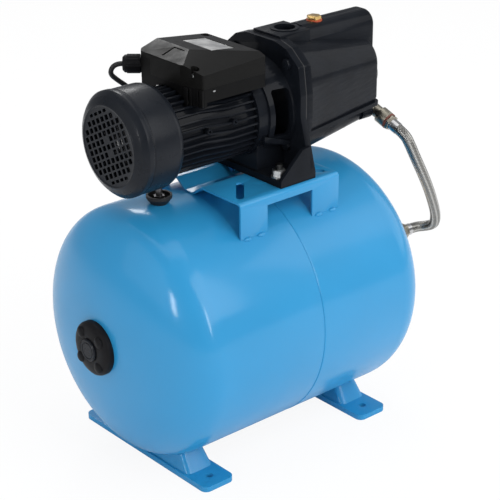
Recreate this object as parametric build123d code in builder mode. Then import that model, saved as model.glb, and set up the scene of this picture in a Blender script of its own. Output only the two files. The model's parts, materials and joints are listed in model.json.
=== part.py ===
from build123d import *
from math import cos, pi, radians, sin, tan
import os

os.makedirs("parts", exist_ok=True)

# ---------------------------------------------------------------------------
# Booster set: a jet pump on a lying pressure tank.
# X runs along the tank and the pump, from the fan (-X) to the suction nose (+X).
# +Y is the back, +Z is up, and the origin lies on the floor, midway between the
# four foot holes.  All sizes are in millimetres.
# ---------------------------------------------------------------------------

# Clearances
running_gap = 0.05          # radial, shaft in a bearing
seat_gap = 0.2              # between parts that are assembled side by side
sheet = 3.0                 # console steel

# Tank
tank_radius = 182.5
tank_wall = 1.5
tank_floor_gap = 16.0
tank_axis_z = tank_radius + tank_floor_gap
tank_straight = 166.3       # cylinder length each side of the middle
dome_depth = 83.2
dome_power = 2.2            # 2 is an ellipse, more is squarer
seam_x = 8.4
seam_lap = 12.0
tank_end = tank_straight + dome_depth
tank_top = tank_axis_z + tank_radius

# Tank feet
foot_span_x = 150.0         # foot centre from the middle
foot_width = 54.0
foot_length = 283.0
foot_lip = 8.0
foot_sheet = 2.5
foot_hole_radius = 5.5
foot_hole_pitch_y = 235.0
foot_hump_half = 101.0      # hump half length at its foot
foot_hump_top_half = 74.0
foot_hump_top_z = 44.0
foot_hump_width = 48.0
foot_hump_top_width = 37.0
foot_edge_radius = 5.0
foot_collar_wall = 3.0

# Console
console_left = -82.0
console_right = 99.0
console_half_depth = 110.0
console_top = tank_top + 16.5
console_window_top = console_top - 13.5
console_leg_bottom = tank_axis_z + 130
console_bend = 6.0
trough_half_top = 26.0
trough_half_bottom = 8.0
console_slot_width = 11.0
console_slot_length = 60.0
console_slot_x = 58.5        # slot middle from the console's middle
console_slot_y = 71.5
console_slot_turn = 49.5    # degrees from +X
trough_hole_radius = 4.0

# Pump set
pump_axis_z = console_top + 84.5
shaft_radius = 8.0
bearing_shaft_radius = 7.5

# Fan cover
cover_front_x = -214.4
cover_rear_x = -144.0
cover_disc_radius = 57.8
cover_band_radius = 73.5
cover_band_front_x = -202.0
cover_band_rear_x = -194.5
cover_barrel_radius = 72.6
cover_barrel_rear_x = -152.0
cover_edge_crown = 1.2      # how far the sloping edge swells between disc and band
cover_rim_radius = 69.6
cover_wall = 2.2
grille_turn = 27.5          # the rows are turned about the shaft
grille_row_pitch = 9.27
grille_slot_pitch = 10.95
grille_slot_wide = 6.6
grille_slot_high = 5.5
grille_slot_corner = 1.6
grille_rows = (4, 6, 8, 9, 9, 9, 9, 9, 8, 6, 4)
grille_hub_rows = 1         # rows each side of the middle that skip the hub
grille_hub_hole = 3.5

# Motor
motor_rear_x = -144.0
motor_front_x = -7.0
motor_bore = 50.0
motor_skin_radius = 54.0
fin_radius = 61.0
fin_thickness = 2.6
fin_count = 36
fin_swing = 5.5             # degrees that a fin steps round along its length
fin_bend_start = -100.0
fin_bend_end = -52.0
shield_radius = 63.0
shield_front_x = 11.0
pad_half_width = 34.0
pad_top = pump_axis_z + 63.8

# Terminal box
box_left = -114.0
box_right = 5.0
box_half_width = 63.0
box_bottom = pump_axis_z + 50
gland_block_bottom = pump_axis_z + 60.5
box_seam = pump_axis_z + 69
box_wall = 2.5
box_corner_x = 10.0         # the near left corner is cut back
box_corner_y = 36.0
box_corner_radius = 3.0
lid_front_z = pump_axis_z + 88         # lid edge at its front left corner
lid_front_slope_x = 0.0435
lid_front_slope_y = 0.32
lid_top_z = pump_axis_z + 97.4          # top plane height at X = 0
lid_top_slope = -0.118
lid_left_z = pump_axis_z + 97
lid_left_slope = 0.31

# Cable gland and power cord
gland_turn = 138.5          # degrees from +X
gland_corner_x = 5.0        # the box corner beside the gland is cut back
gland_corner_y = 5.5
gland_z = pump_axis_z + 75
gland_nut_radius = 13.2
gland_nut_length = 24.0
gland_thread_radius = 9.5
cord_diameter = 7.0
cord_radius = cord_diameter / 2

# Lantern bracket and pump body
lantern_rear_x = 11.0
plate_rear_x = 50.0
plate_front_x = 60.0
plate_corners = ((30.0, 85.0), (53.0, 78.5), (78.0, 58.0), (83.5, 18.0))
plate_half = plate_corners[-1][0]
plate_edge_radius = 6.0
plate_mid_z = pump_axis_z + 12
lantern_radius = 66.0
lantern_wall = 9.0
window_low_z = pump_axis_z - 28
window_high_z = pump_axis_z + 39
bracket_foot_left = -4.0
bracket_foot_half = 104.0
bracket_foot_thick = 9.5
foot_bolt_x = 8.0
foot_bolt_y = 86.0
foot_bolt_radius = 5.0
foot_bolt_hole = 5.6

gasket_thick = 1.5
body_flange_thick = 11.0
body_flange_x = plate_front_x + gasket_thick
body_nose_x = 238.0
body_wall = 7.0
body_edge_radius = 10.0
barrel_root_half = 80.0
barrel_nose_half = 47.0
barrel_root_low = pump_axis_z - 36
barrel_nose_low = pump_axis_z - 32
barrel_root_high = pump_axis_z + 95
barrel_nose_high = pump_axis_z + 64
barrel_root_round = 60.0    # upper corners
barrel_nose_round = 36.0
barrel_low_round = 14.0     # lower corners
keel_nose_x = 236.0
keel_root_half = 66.0
keel_nose_half = 27.0
keel_root_low = pump_axis_z - 72
keel_nose_low = pump_axis_z - 60
keel_high = pump_axis_z - 2
keel_root_round = 30.0
keel_nose_round = 12.0
keel_edge_radius = 5.0
ridge_half = 25.5
ridge_low = pump_axis_z + 18
ridge_high = pump_axis_z + 102
ridge_round = 20.0
ridge_end_x = 247.5
ridge_edge_radius = 5.0
port_x = 95.0
port_radius = 15.3
port_wall = 5.0
port_depth = 13.0
port_rim_radius = 20.5
port_pad_half = 28.0
port_pad_front_x = 118.0
pad_low = pump_axis_z + 78
pad_high = pump_axis_z + 100.5
plug_x = 151.0
plug_thread_radius = 6.6
plug_face_radius = 13.0
suction_z = pump_axis_z + 8
suction_boss_radius = 33.0
suction_face_x = 249.0
suction_depth = 20.0
hose_port_y = -22.0
hose_port_z = pump_axis_z - 46


def across(x, z=pump_axis_z, y=0.0):
    """Plane square to the X axis, seen with +Y to the right and +Z up."""
    return Plane(origin=(x, y, z), x_dir=(0, 1, 0), z_dir=(1, 0, 0))


def lengthwise(z=pump_axis_z, y=0.0):
    """Upright plane along the X axis, its first direction is +X."""
    return Plane(origin=(0, y, z), x_dir=(1, 0, 0), z_dir=(0, -1, 0))


def x_axis(z=pump_axis_z, y=0.0):
    return Axis((0, y, z), (1, 0, 0))


def turned(outline, z=pump_axis_z, y=0.0):
    """A turned piece: a closed (x, radius) outline spun about an X axis."""
    with BuildPart() as piece:
        with BuildSketch(lengthwise(z, y)):
            with BuildLine():
                Polyline(*outline, close=True)
            make_face()
        revolve(axis=x_axis(z, y))
    return piece


def ring(x_start, x_end, inner, outer, z=pump_axis_z, y=0.0):
    return turned([(x_start, inner), (x_end, inner), (x_end, outer), (x_start, outer)], z, y)


# ---------------------------------------------------------------------------
# Tank
# ---------------------------------------------------------------------------

def dome_curve(side, radius, depth):
    """Points of a dome from the straight wall to its pole; side is -1 or 1."""
    steps = 8
    points = []
    for i in range(steps + 1):
        turn = radians(90 * i / steps)
        x = tank_straight + depth * sin(turn) ** (2 / dome_power)
        points.append((side * x, radius * max(cos(turn), 0) ** (2 / dome_power)))
    return points


def shell_profile(side, open_end):
    """Half shell outline; open_end lists the (x, radius) points at the seam."""
    outer = dome_curve(side, tank_radius, dome_depth)
    inner = dome_curve(side, tank_radius - tank_wall, dome_depth - tank_wall)
    Spline(*outer, tangents=[(side, 0), (0, -1)])
    Line(outer[-1], inner[-1])
    Spline(*reversed(inner), tangents=[(0, 1), (-side, 0)])
    Polyline(inner[0], *open_end, outer[0])


mouth_radius = 48.0
mouth_ring_radius = 74.0
mouth_face_x = 253.0
membrane_lip = 2.0          # squeezed between the mouth ring and the flange plate
membrane_lip_radius = 57.0  # it ends inside the bolt circle
membrane_wall = 4.0
membrane_neck = 46.0
membrane_neck_length = 16.0
membrane_belly = 140.0      # radius at its widest, at belly_x
belly_x = 30.0
membrane_pole_x = -190.0
flange_plate_x = mouth_face_x + membrane_lip
flange_plate_thick = 3.0
flange_front_x = flange_plate_x + flange_plate_thick
flange_bolt_circle = 62.0
flange_bolt_count = 6
flange_bolt_radius = 4.0
flange_bolt_hole = 4.4
neck_radius = 20.0
neck_end_x = 285.0
neck_bore = 15.0


def flange_circle(x, radius):
    """The flange's bolt pattern as circles in the plane at x."""
    with BuildSketch(across(x, tank_axis_z)) as pattern:
        with PolarLocations(flange_bolt_circle, flange_bolt_count):
            Circle(radius)
    return pattern.sketch


lap_radius = tank_radius - tank_wall - seat_gap
lap_start = seam_x - 3.4
valve_hole = 8.0

with BuildPart() as tank_shell_left:
    with BuildSketch(lengthwise(tank_axis_z)):
        with BuildLine():
            shell_profile(-1, [
                (lap_start - 2, tank_radius - tank_wall),
                (seam_x, lap_radius - tank_wall),
                (seam_x + seam_lap, lap_radius - tank_wall),
                (seam_x + seam_lap, lap_radius),
                (seam_x + 1, lap_radius),
                (lap_start, tank_radius),
            ])
        make_face()
    revolve(axis=x_axis(tank_axis_z))
    with BuildSketch(across(-tank_end - 5, tank_axis_z)):
        Circle(valve_hole)
    extrude(amount=20, mode=Mode.SUBTRACT)
tank_shell_left.part.label = "tank_shell_left"
export_step(tank_shell_left.part, "parts/tank_shell_left.step")

with BuildPart() as tank_shell_right:
    with BuildSketch(lengthwise(tank_axis_z)):
        with BuildLine():
            shell_profile(1, [
                (seam_x + 1.2, tank_radius - tank_wall),
                (seam_x, tank_radius),
            ])
        make_face()
    revolve(axis=x_axis(tank_axis_z))
    with BuildSketch(across(mouth_face_x, tank_axis_z)):
        Circle(mouth_ring_radius)
    extrude(amount=-10)
    with BuildSketch(across(mouth_face_x, tank_axis_z)):
        Circle(mouth_radius)
    extrude(amount=-20, mode=Mode.SUBTRACT)
    extrude(flange_circle(mouth_face_x, flange_bolt_hole), amount=-10, mode=Mode.SUBTRACT)
tank_shell_right.part.label = "tank_shell_right"
export_step(tank_shell_right.part, "parts/tank_shell_right.step")

with BuildPart() as tank_membrane:
    with BuildSketch(lengthwise(tank_axis_z)):
        with BuildLine():
            Spline(
                (membrane_pole_x, 0),
                (belly_x, membrane_belly),
                (mouth_face_x - membrane_neck_length, membrane_neck),
                tangents=[(0, 1), (1, -1)],
            )
            Polyline(
                (mouth_face_x - membrane_neck_length, membrane_neck),
                (mouth_face_x, membrane_neck),
                (mouth_face_x, membrane_lip_radius),
                (mouth_face_x + membrane_lip, membrane_lip_radius),
                (mouth_face_x + membrane_lip, membrane_neck - membrane_wall),
                (mouth_face_x - membrane_neck_length, membrane_neck - membrane_wall),
            )
            Spline(
                (mouth_face_x - membrane_neck_length, membrane_neck - membrane_wall),
                (belly_x, membrane_belly - membrane_wall),
                (membrane_pole_x + membrane_wall, 0),
                tangents=[(-1, 1), (0, -1)],
            )
            Line((membrane_pole_x + membrane_wall, 0), (membrane_pole_x, 0))
        make_face()
    revolve(axis=x_axis(tank_axis_z))
tank_membrane.part.label = "tank_membrane"
export_step(tank_membrane.part, "parts/tank_membrane.step")

with BuildPart() as tank_flange:
    with BuildSketch(lengthwise(tank_axis_z)):
        with BuildLine():
            Polyline(
                (flange_plate_x, neck_bore),
                (flange_plate_x, mouth_ring_radius),
                (flange_front_x, mouth_ring_radius),
                (flange_front_x, neck_radius + 4),
                (flange_front_x + 4, neck_radius),
                (neck_end_x, neck_radius),
                (neck_end_x, neck_bore),
                close=True,
            )
        make_face()
    revolve(axis=x_axis(tank_axis_z))
    extrude(flange_circle(flange_plate_x, flange_bolt_hole), amount=flange_plate_thick, mode=Mode.SUBTRACT)
tank_flange.part.label = "tank_flange"
export_step(tank_flange.part, "parts/tank_flange.step")

flange_washer_radius = 8.5
flange_head_radius = 7.5

with BuildPart() as flange_bolts:
    extrude(flange_circle(mouth_face_x - 13, flange_bolt_radius), amount=flange_front_x - mouth_face_x + 13)
    extrude(flange_circle(flange_front_x, flange_washer_radius), amount=1.6)
    with BuildSketch(across(flange_front_x + 1.6, tank_axis_z)):
        with PolarLocations(flange_bolt_circle, flange_bolt_count):
            RegularPolygon(flange_head_radius, 6)
    extrude(amount=5.3)
flange_bolts.part.label = "flange_bolts"
export_step(flange_bolts.part, "parts/flange_bolts.step")

# Charging valve at the fan end, under a bolted-on plastic cap with a pull-off button
pole_x = -tank_end
cap_radius = 42.0
cap_rim_x = pole_x + 1.1
cap_face_x = -262.0
cap_wall = 2.5
button_radius = 16.0
button_gap = 0.4
button_face_x = -265.0
button_recess_x = -256.0
cap_collar = 12.0
valve_stem_radius = 3.8
cap_bumps = 6
cap_bump_circle = 27.0
cap_bump_radius = 4.5
cap_bump_high = 1.5

with BuildPart() as tank_end_cap:
    with BuildSketch(lengthwise(tank_axis_z)):
        with BuildLine():
            Polyline(
                (cap_rim_x, cap_radius),
                (pole_x - 5.5, cap_radius),
                (pole_x - 9.5, cap_radius - 7),
                (cap_face_x, cap_radius - 12),
                (cap_face_x, button_radius + button_gap),
                (button_recess_x, button_radius + button_gap),
                (button_recess_x, valve_stem_radius + 1),
                (button_recess_x + cap_wall, valve_stem_radius + 1),
                (button_recess_x + cap_wall, cap_collar - cap_wall),
                (pole_x, cap_collar - cap_wall),
                (pole_x, cap_collar),
                (button_recess_x + cap_wall, cap_collar),
                (button_recess_x + cap_wall, button_radius + cap_wall),
                (cap_face_x + cap_wall, button_radius + cap_wall),
                (cap_face_x + cap_wall, cap_radius - 13),
                (pole_x - 8, cap_radius - 9),
                (pole_x - 4.5, cap_radius - cap_wall),
                (cap_rim_x, cap_radius - cap_wall),
                close=True,
            )
        make_face()
    revolve(axis=x_axis(tank_axis_z))
    with BuildSketch(across(cap_face_x - cap_bump_high, tank_axis_z)):
        with PolarLocations(cap_bump_circle, cap_bumps, start_angle=360 / cap_bumps / 2):
            Circle(cap_bump_radius)
    extrude(amount=cap_bump_high + cap_wall)
tank_end_cap.part.label = "tank_end_cap"
export_step(tank_end_cap.part, "parts/tank_end_cap.step")

air_valve = turned([
    (cap_face_x + 2, 0),
    (cap_face_x + 2, valve_stem_radius),
    (pole_x - 1.5, valve_stem_radius),
    (pole_x - 1.5, valve_hole - 0.1),
    (pole_x + 1.8, valve_hole - 0.1),
    (pole_x + 1.8, valve_hole + 5),
    (pole_x + 5.5, valve_hole + 5),
    (pole_x + 5.5, 0),
], tank_axis_z)
air_valve.part.label = "air_valve"
export_step(air_valve.part, "parts/air_valve.step")

button_bore = valve_stem_radius + button_gap
button_rear_x = button_recess_x - button_gap
button_groove = 11.5

air_valve_cap = turned([
    (button_rear_x, button_radius - cap_wall),
    (button_rear_x, button_radius),
    (button_face_x + 1.5, button_radius),
    (button_face_x, button_radius - 1.5),
    (button_face_x, button_groove + 1),
    (button_face_x + 0.8, button_groove),
    (button_face_x, button_groove - 1),
    (button_face_x, 0),
    (button_face_x + cap_wall, 0),
    (button_face_x + cap_wall, button_bore),
    (button_rear_x, button_bore),
    (button_rear_x, button_bore + 2),
    (button_face_x + 2 * cap_wall, button_bore + 2),
    (button_face_x + 2 * cap_wall, button_radius - cap_wall),
], tank_axis_z)
air_valve_cap.part.label = "air_valve_cap"
export_step(air_valve_cap.part, "parts/air_valve_cap.step")


# ---------------------------------------------------------------------------
# Tank feet
# ---------------------------------------------------------------------------

with BuildPart() as tank_saddle:
    with BuildSketch(across(-foot_span_x - foot_width, tank_axis_z)):
        Circle(tank_radius + 0.1)
    extrude(amount=2 * (foot_span_x + foot_width))


def foot_hump(x, inset):
    """The foot's raised middle, drawn in by inset on every side."""
    with BuildPart() as hump:
        with BuildSketch(Plane.XY.offset(foot_lip - foot_sheet - 1)):
            with Locations((x, 0)):
                RectangleRounded(foot_hump_width - 2 * inset, 2 * (foot_hump_half - inset), 9 - inset)
        with BuildSketch(Plane.XY.offset(foot_hump_top_z - inset)):
            with Locations((x, 0)):
                RectangleRounded(foot_hump_top_width - 2 * inset, 2 * (foot_hump_top_half - inset), 9 - inset)
        loft()
    return hump.part


for name, side in (("tank_foot_left", -1), ("tank_foot_right", 1)):
    foot_x = side * foot_span_x
    with BuildPart() as tank_foot:
        with BuildSketch():
            with Locations((foot_x, 0)):
                RectangleRounded(foot_width, foot_length, foot_edge_radius * 2)
        extrude(amount=foot_lip)
        add(foot_hump(foot_x, 0))
        add(tank_saddle.part, mode=Mode.SUBTRACT)
        with BuildSketch():
            with Locations((foot_x, 0)):
                RectangleRounded(
                    foot_width - 2 * foot_sheet, foot_length - 2 * foot_sheet,
                    foot_edge_radius * 2 - foot_sheet,
                )
        extrude(amount=foot_lip - foot_sheet, mode=Mode.SUBTRACT)
        add(foot_hump(foot_x, foot_sheet), mode=Mode.SUBTRACT)
        with BuildSketch():
            with Locations((foot_x, 0)):
                with GridLocations(0, foot_hole_pitch_y, 1, 2):
                    Circle(foot_hole_radius + foot_collar_wall)
        extrude(amount=foot_lip)
        with BuildSketch():
            with Locations((foot_x, 0)):
                with GridLocations(0, foot_hole_pitch_y, 1, 2):
                    Circle(foot_hole_radius)
        extrude(amount=foot_lip, mode=Mode.SUBTRACT)
    tank_foot.part.label = name
    export_step(tank_foot.part, f"parts/{name}.step")


# ---------------------------------------------------------------------------
# Console: a bent sheet with a trough along its middle
# ---------------------------------------------------------------------------

console_window_left = -34.0
console_window_right = 49.0
console_window_high = 100.0  # down past the tank's top
console_mid_x = (console_left + console_right) / 2
trough_hole_z = console_window_top + 5.5

with BuildPart() as pump_console:
    with BuildSketch(across(console_left, 0)):
        with BuildLine():
            FilletPolyline(
                (-console_half_depth, console_leg_bottom),
                (-console_half_depth, console_top),
                (-trough_half_top, console_top),
                (-trough_half_bottom, console_window_top),
                (trough_half_bottom, console_window_top),
                (trough_half_top, console_top),
                (console_half_depth, console_top),
                (console_half_depth, console_leg_bottom),
                radius=console_bend,
            )
            offset(amount=sheet, side=Side.RIGHT)
        make_face()
    extrude(amount=console_right - console_left)
    with BuildSketch(Plane.XY.offset(console_top)):
        with Locations((console_mid_x, 0)):
            for turn_x in (-1, 1):
                for turn_y in (-1, 1):
                    with Locations((turn_x * console_slot_x, turn_y * console_slot_y)):
                        SlotOverall(
                            console_slot_length, console_slot_width,
                            rotation=turn_x * turn_y * console_slot_turn,
                        )
        with Locations((foot_bolt_x, foot_bolt_y), (foot_bolt_x, -foot_bolt_y)):
            Circle(foot_bolt_hole)
    extrude(amount=-2 * sheet, mode=Mode.SUBTRACT)
    with BuildSketch(Plane.XZ.offset(-console_half_depth - 1)):
        with Locations(((console_window_left + console_window_right) / 2, console_window_top - console_window_high / 2)):
            Rectangle(console_window_right - console_window_left, console_window_high)
    extrude(amount=2 * console_half_depth + 2, mode=Mode.SUBTRACT)
    with BuildSketch(lengthwise(0, 0)):
        with Locations((console_mid_x, trough_hole_z)):
            Circle(trough_hole_radius)
    extrude(amount=-trough_half_top, mode=Mode.SUBTRACT)
    add(tank_saddle.part, mode=Mode.SUBTRACT)
pump_console.part.label = "pump_console"
export_step(pump_console.part, "parts/pump_console.step")


# ---------------------------------------------------------------------------
# Fan cover and its grille
# ---------------------------------------------------------------------------

def cover_curve(inset):
    """Profile points of the cover, drawn in by inset: disc, round edge, band and barrel."""
    disc = cover_disc_radius
    front = cover_front_x + inset
    band = cover_band_radius - inset
    knee_x = (front + cover_band_front_x) / 2 - cover_edge_crown
    knee_radius = (disc + band) / 2 + cover_edge_crown
    Line((front, 0), (front, disc))
    ThreePointArc((front, disc), (knee_x, knee_radius), (cover_band_front_x, band))
    Polyline(
        (cover_band_front_x, band),
        (cover_band_rear_x, band),
        (cover_band_rear_x + 4.5, cover_barrel_radius - inset),
        (cover_barrel_rear_x, cover_barrel_radius - inset),
        (cover_rear_x, cover_rim_radius - inset),
    )


with BuildPart() as fan_cover:
    with BuildSketch(lengthwise()):
        with BuildLine():
            cover_curve(0)
            Line((cover_rear_x, cover_rim_radius), (cover_rear_x, cover_rim_radius - cover_wall))
            cover_curve(cover_wall)
            Line((cover_front_x + cover_wall, 0), (cover_front_x, 0))
        make_face()
    revolve(axis=x_axis())
    turned_rows = Plane(
        origin=(cover_front_x - 1, 0, pump_axis_z),
        x_dir=(0, -cos(radians(grille_turn)), sin(radians(grille_turn))),
        z_dir=(1, 0, 0),
    )
    with BuildSketch(turned_rows):
        for row, slots in enumerate(grille_rows):
            row_offset = row - (len(grille_rows) - 1) / 2
            for slot in range(slots):
                slot_offset = slot - (slots - 1) / 2
                if slot_offset == 0 and abs(row_offset) <= grille_hub_rows:
                    continue
                with Locations((slot_offset * grille_slot_pitch, row_offset * grille_row_pitch)):
                    RectangleRounded(grille_slot_wide, grille_slot_high, grille_slot_corner)
        Circle(grille_hub_hole)
    extrude(amount=cover_wall + 2, mode=Mode.SUBTRACT)
fan_cover.part.label = "fan_cover"
export_step(fan_cover.part, "parts/fan_cover.step")


# ---------------------------------------------------------------------------
# Motor, from the fan forwards
# ---------------------------------------------------------------------------

shaft_rear_x = -196.0
rear_bearing_x = -138.0
rear_bearing_wide = 11.0
front_bearing_x = -6.0
front_bearing_wide = 12.0
front_journal_radius = 8.5
shaft_middle_radius = 9.5
shaft_front_x = 96.0
rear_bearing_radius = 17.5
front_bearing_radius = 20.0
shoulder_gap = 0.5

motor_shaft = turned([
    (shaft_rear_x, 0),
    (shaft_rear_x, bearing_shaft_radius),
    (rear_bearing_x + rear_bearing_wide + shoulder_gap, bearing_shaft_radius),
    (rear_bearing_x + rear_bearing_wide + shoulder_gap, shaft_middle_radius),
    (front_bearing_x - shoulder_gap, shaft_middle_radius),
    (front_bearing_x - shoulder_gap, front_journal_radius),
    (front_bearing_x + front_bearing_wide + 1, front_journal_radius),
    (front_bearing_x + front_bearing_wide + 1, shaft_radius),
    (shaft_front_x, shaft_radius),
    (shaft_front_x, 0),
])
motor_shaft.part.label = "motor_shaft"
export_step(motor_shaft.part, "parts/motor_shaft.step")

rear_bearing = ring(
    rear_bearing_x, rear_bearing_x + rear_bearing_wide,
    bearing_shaft_radius + running_gap, rear_bearing_radius,
)
rear_bearing.part.label = "rear_bearing"
export_step(rear_bearing.part, "parts/rear_bearing.step")

front_bearing = ring(
    front_bearing_x, front_bearing_x + front_bearing_wide,
    front_journal_radius + running_gap, front_bearing_radius,
)
front_bearing.part.label = "front_bearing"
export_step(front_bearing.part, "parts/front_bearing.step")

# Rear shield: a spigot in the housing, and lugs that the cover clips over
cover_lugs = 4
cover_lug_wide = 12.0
shield_plate = 6.0
cover_inner_radius = cover_rim_radius - cover_wall - seat_gap

with BuildPart() as rear_end_shield:
    with BuildSketch(lengthwise()):
        with BuildLine():
            Polyline(
                (motor_rear_x - shield_plate, bearing_shaft_radius + 2),
                (motor_rear_x - shield_plate, motor_skin_radius),
                (motor_rear_x, motor_skin_radius),
                (motor_rear_x, motor_bore),
                (motor_rear_x + 10, motor_bore),
                (motor_rear_x + 10, motor_bore - 4),
                (motor_rear_x, motor_bore - 4),
                (motor_rear_x, rear_bearing_radius + 6),
                (rear_bearing_x + rear_bearing_wide, rear_bearing_radius + 6),
                (rear_bearing_x + rear_bearing_wide, rear_bearing_radius),
                (rear_bearing_x, rear_bearing_radius),
                (rear_bearing_x, bearing_shaft_radius + 2),
                close=True,
            )
        make_face()
    revolve(axis=x_axis())
    with BuildSketch(across(motor_rear_x - shield_plate)):
        with PolarLocations(motor_skin_radius - 2, cover_lugs, start_angle=45):
            with Locations(((cover_inner_radius - motor_skin_radius + 2) / 2, 0)):
                Rectangle(cover_inner_radius - motor_skin_radius + 2, cover_lug_wide)
    extrude(amount=shield_plate - 0.5)
rear_end_shield.part.label = "rear_end_shield"
export_step(rear_end_shield.part, "parts/rear_end_shield.step")

# Cooling fan on the shaft's rear end
fan_front_x = -190.0
fan_back_x = -160.0
fan_radius = 61.0
fan_hub_radius = 17.0
fan_disc_thick = 3.0
fan_blades = 8
fan_blade_thick = 2.5

with BuildPart() as cooling_fan:
    with BuildSketch(across(fan_back_x)):
        Circle(fan_radius - 4)
    extrude(amount=-fan_disc_thick)
    with BuildSketch(across(fan_back_x)):
        Circle(fan_hub_radius)
    extrude(amount=fan_front_x - fan_back_x)
    with BuildSketch(across(fan_back_x)):
        with PolarLocations(0, fan_blades):
            with Locations(((fan_hub_radius + fan_radius) / 2 - 1, 0)):
                Rectangle(fan_radius - fan_hub_radius + 2, fan_blade_thick)
    extrude(amount=fan_front_x - fan_back_x + 2)
    with BuildSketch(across(fan_back_x)):
        Circle(bearing_shaft_radius)
    extrude(amount=fan_front_x - fan_back_x, mode=Mode.SUBTRACT)
cooling_fan.part.label = "cooling_fan"
export_step(cooling_fan.part, "parts/cooling_fan.step")

# Stator: a slotted core pressed into the housing, and its winding
core_rear_x = -112.0
core_front_x = -38.0
rotor_radius = 29.6
air_gap = 0.4
stator_slots = 18
slot_wide = 4.5
slot_inner = 33.0
slot_outer = 43.0
winding_overhang = 15.0


def slot_bars(x, clearance):
    """The winding's bars or, with no clearance, the core's slots."""
    with BuildSketch(across(x)) as bars:
        with PolarLocations((slot_inner + slot_outer) / 2, stator_slots):
            Rectangle(slot_outer - slot_inner - 2 * clearance, slot_wide - 2 * clearance)
    return bars.sketch


with BuildPart() as stator_core:
    with BuildSketch(across(core_rear_x)):
        Circle(motor_bore)
        Circle(rotor_radius + air_gap, mode=Mode.SUBTRACT)
    extrude(amount=core_front_x - core_rear_x)
    extrude(slot_bars(core_rear_x, 0), amount=core_front_x - core_rear_x, mode=Mode.SUBTRACT)
stator_core.part.label = "stator_core"
export_step(stator_core.part, "parts/stator_core.step")

with BuildPart() as stator_windings:
    extrude(
        slot_bars(core_rear_x - 1, seat_gap),
        amount=core_front_x - core_rear_x + 2,
    )
    for end_x, outward in ((core_rear_x, -1), (core_front_x, 1)):
        with BuildSketch(across(end_x + outward * 0.5)):
            Circle(slot_outer + 2)
            Circle(slot_inner - 1, mode=Mode.SUBTRACT)
        extrude(amount=outward * winding_overhang)
stator_windings.part.label = "stator_windings"
export_step(stator_windings.part, "parts/stator_windings.step")

rotor_core = ring(core_rear_x + 2, core_front_x - 2, shaft_middle_radius, rotor_radius)
rotor_core.part.label = "rotor_core"
export_step(rotor_core.part, "parts/rotor_core.step")

# Finned housing: every fin steps round a little along its length
fin_step = radians(fin_swing) * (motor_skin_radius + fin_radius) / 2
half_fin = fin_thickness / 2
fin_root = 1.0              # how far a fin goes into the skin
pad_rear_x = -104.0
pad_front_x = -12.0
boss_bottom_z = pump_axis_z - 63
support_x = -134.0

with BuildPart() as motor_housing:
    with BuildSketch(across(motor_rear_x)):
        Circle(motor_skin_radius)
    extrude(amount=motor_front_x - motor_rear_x)
    for fin in range(fin_count):
        turn = radians(360 / fin_count * (fin + 0.5))
        outward = (0, sin(turn), cos(turn))
        foot = motor_skin_radius - fin_root
        with BuildSketch(Plane(
            origin=(0, foot * sin(turn), pump_axis_z + foot * cos(turn)),
            x_dir=(1, 0, 0),
            z_dir=outward,
        )):
            with BuildLine():
                Polyline(
                    (motor_rear_x, half_fin),
                    (fin_bend_start, half_fin),
                    (fin_bend_end, half_fin - fin_step),
                    (motor_front_x, half_fin - fin_step),
                    (motor_front_x, -half_fin - fin_step),
                    (fin_bend_end, -half_fin - fin_step),
                    (fin_bend_start, -half_fin),
                    (motor_rear_x, -half_fin),
                    close=True,
                )
            make_face()
        extrude(amount=fin_radius - foot)
    with BuildSketch(Plane.XY.offset(pad_top)):
        with Locations(((pad_rear_x + pad_front_x) / 2, 0)):
            Rectangle(pad_front_x - pad_rear_x, 2 * pad_half_width)
    extrude(amount=pump_axis_z - pad_top + 30)
    with BuildSketch(Plane.XY.offset(boss_bottom_z)):
        with Locations((support_x + 1, 0)):
            Rectangle(18, 24)
    extrude(amount=20)
    with BuildSketch(across(motor_rear_x)):
        Circle(motor_bore)
    extrude(amount=motor_front_x - motor_rear_x, mode=Mode.SUBTRACT)
motor_housing.part.label = "motor_housing"
export_step(motor_housing.part, "parts/motor_housing.step")

front_end_shield = turned([
    (motor_front_x - 5, motor_bore - 4),
    (motor_front_x - 5, motor_bore),
    (motor_front_x, motor_bore),
    (motor_front_x, shield_radius),
    (shield_front_x, shield_radius),
    (shield_front_x, front_journal_radius + 2),
    (front_bearing_x + front_bearing_wide, front_journal_radius + 2),
    (front_bearing_x + front_bearing_wide, front_bearing_radius),
    (front_bearing_x, front_bearing_radius),
    (front_bearing_x, front_bearing_radius + 6),
    (shield_front_x - 7, front_bearing_radius + 6),
    (shield_front_x - 7, motor_bore - 4),
])
front_end_shield.part.label = "front_end_shield"
export_step(front_end_shield.part, "parts/front_end_shield.step")

# Rubber cup under the motor's rear end, and the stud that stands in it
cup_base_radius = 12.0
cup_radius = 18.0
cup_wall = 3.0
cup_floor_z = tank_top + 5
cup_shoulder_z = tank_top + 8
cup_rim_z = tank_top + 12.5
stud_radius = 4.5
stud_nut_radius = 8.0
stud_nut_high = 6.0

with BuildPart() as motor_support:
    with BuildSketch(lengthwise(0)):
        with BuildLine():
            Polyline(
                (support_x, tank_top - 2),
                (support_x + cup_base_radius, tank_top - 2),
                (support_x + cup_base_radius, tank_top),
                (support_x + cup_radius, cup_shoulder_z),
                (support_x + cup_radius, cup_rim_z),
                (support_x + cup_radius - cup_wall, cup_rim_z),
                (support_x + cup_radius - cup_wall, cup_shoulder_z),
                (support_x + cup_base_radius, cup_floor_z),
                (support_x, cup_floor_z),
                close=True,
            )
        make_face()
    revolve(axis=Axis((support_x, 0, 0), (0, 0, 1)))
    add(tank_saddle.part, mode=Mode.SUBTRACT)
motor_support.part.label = "motor_support"
export_step(motor_support.part, "parts/motor_support.step")

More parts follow.
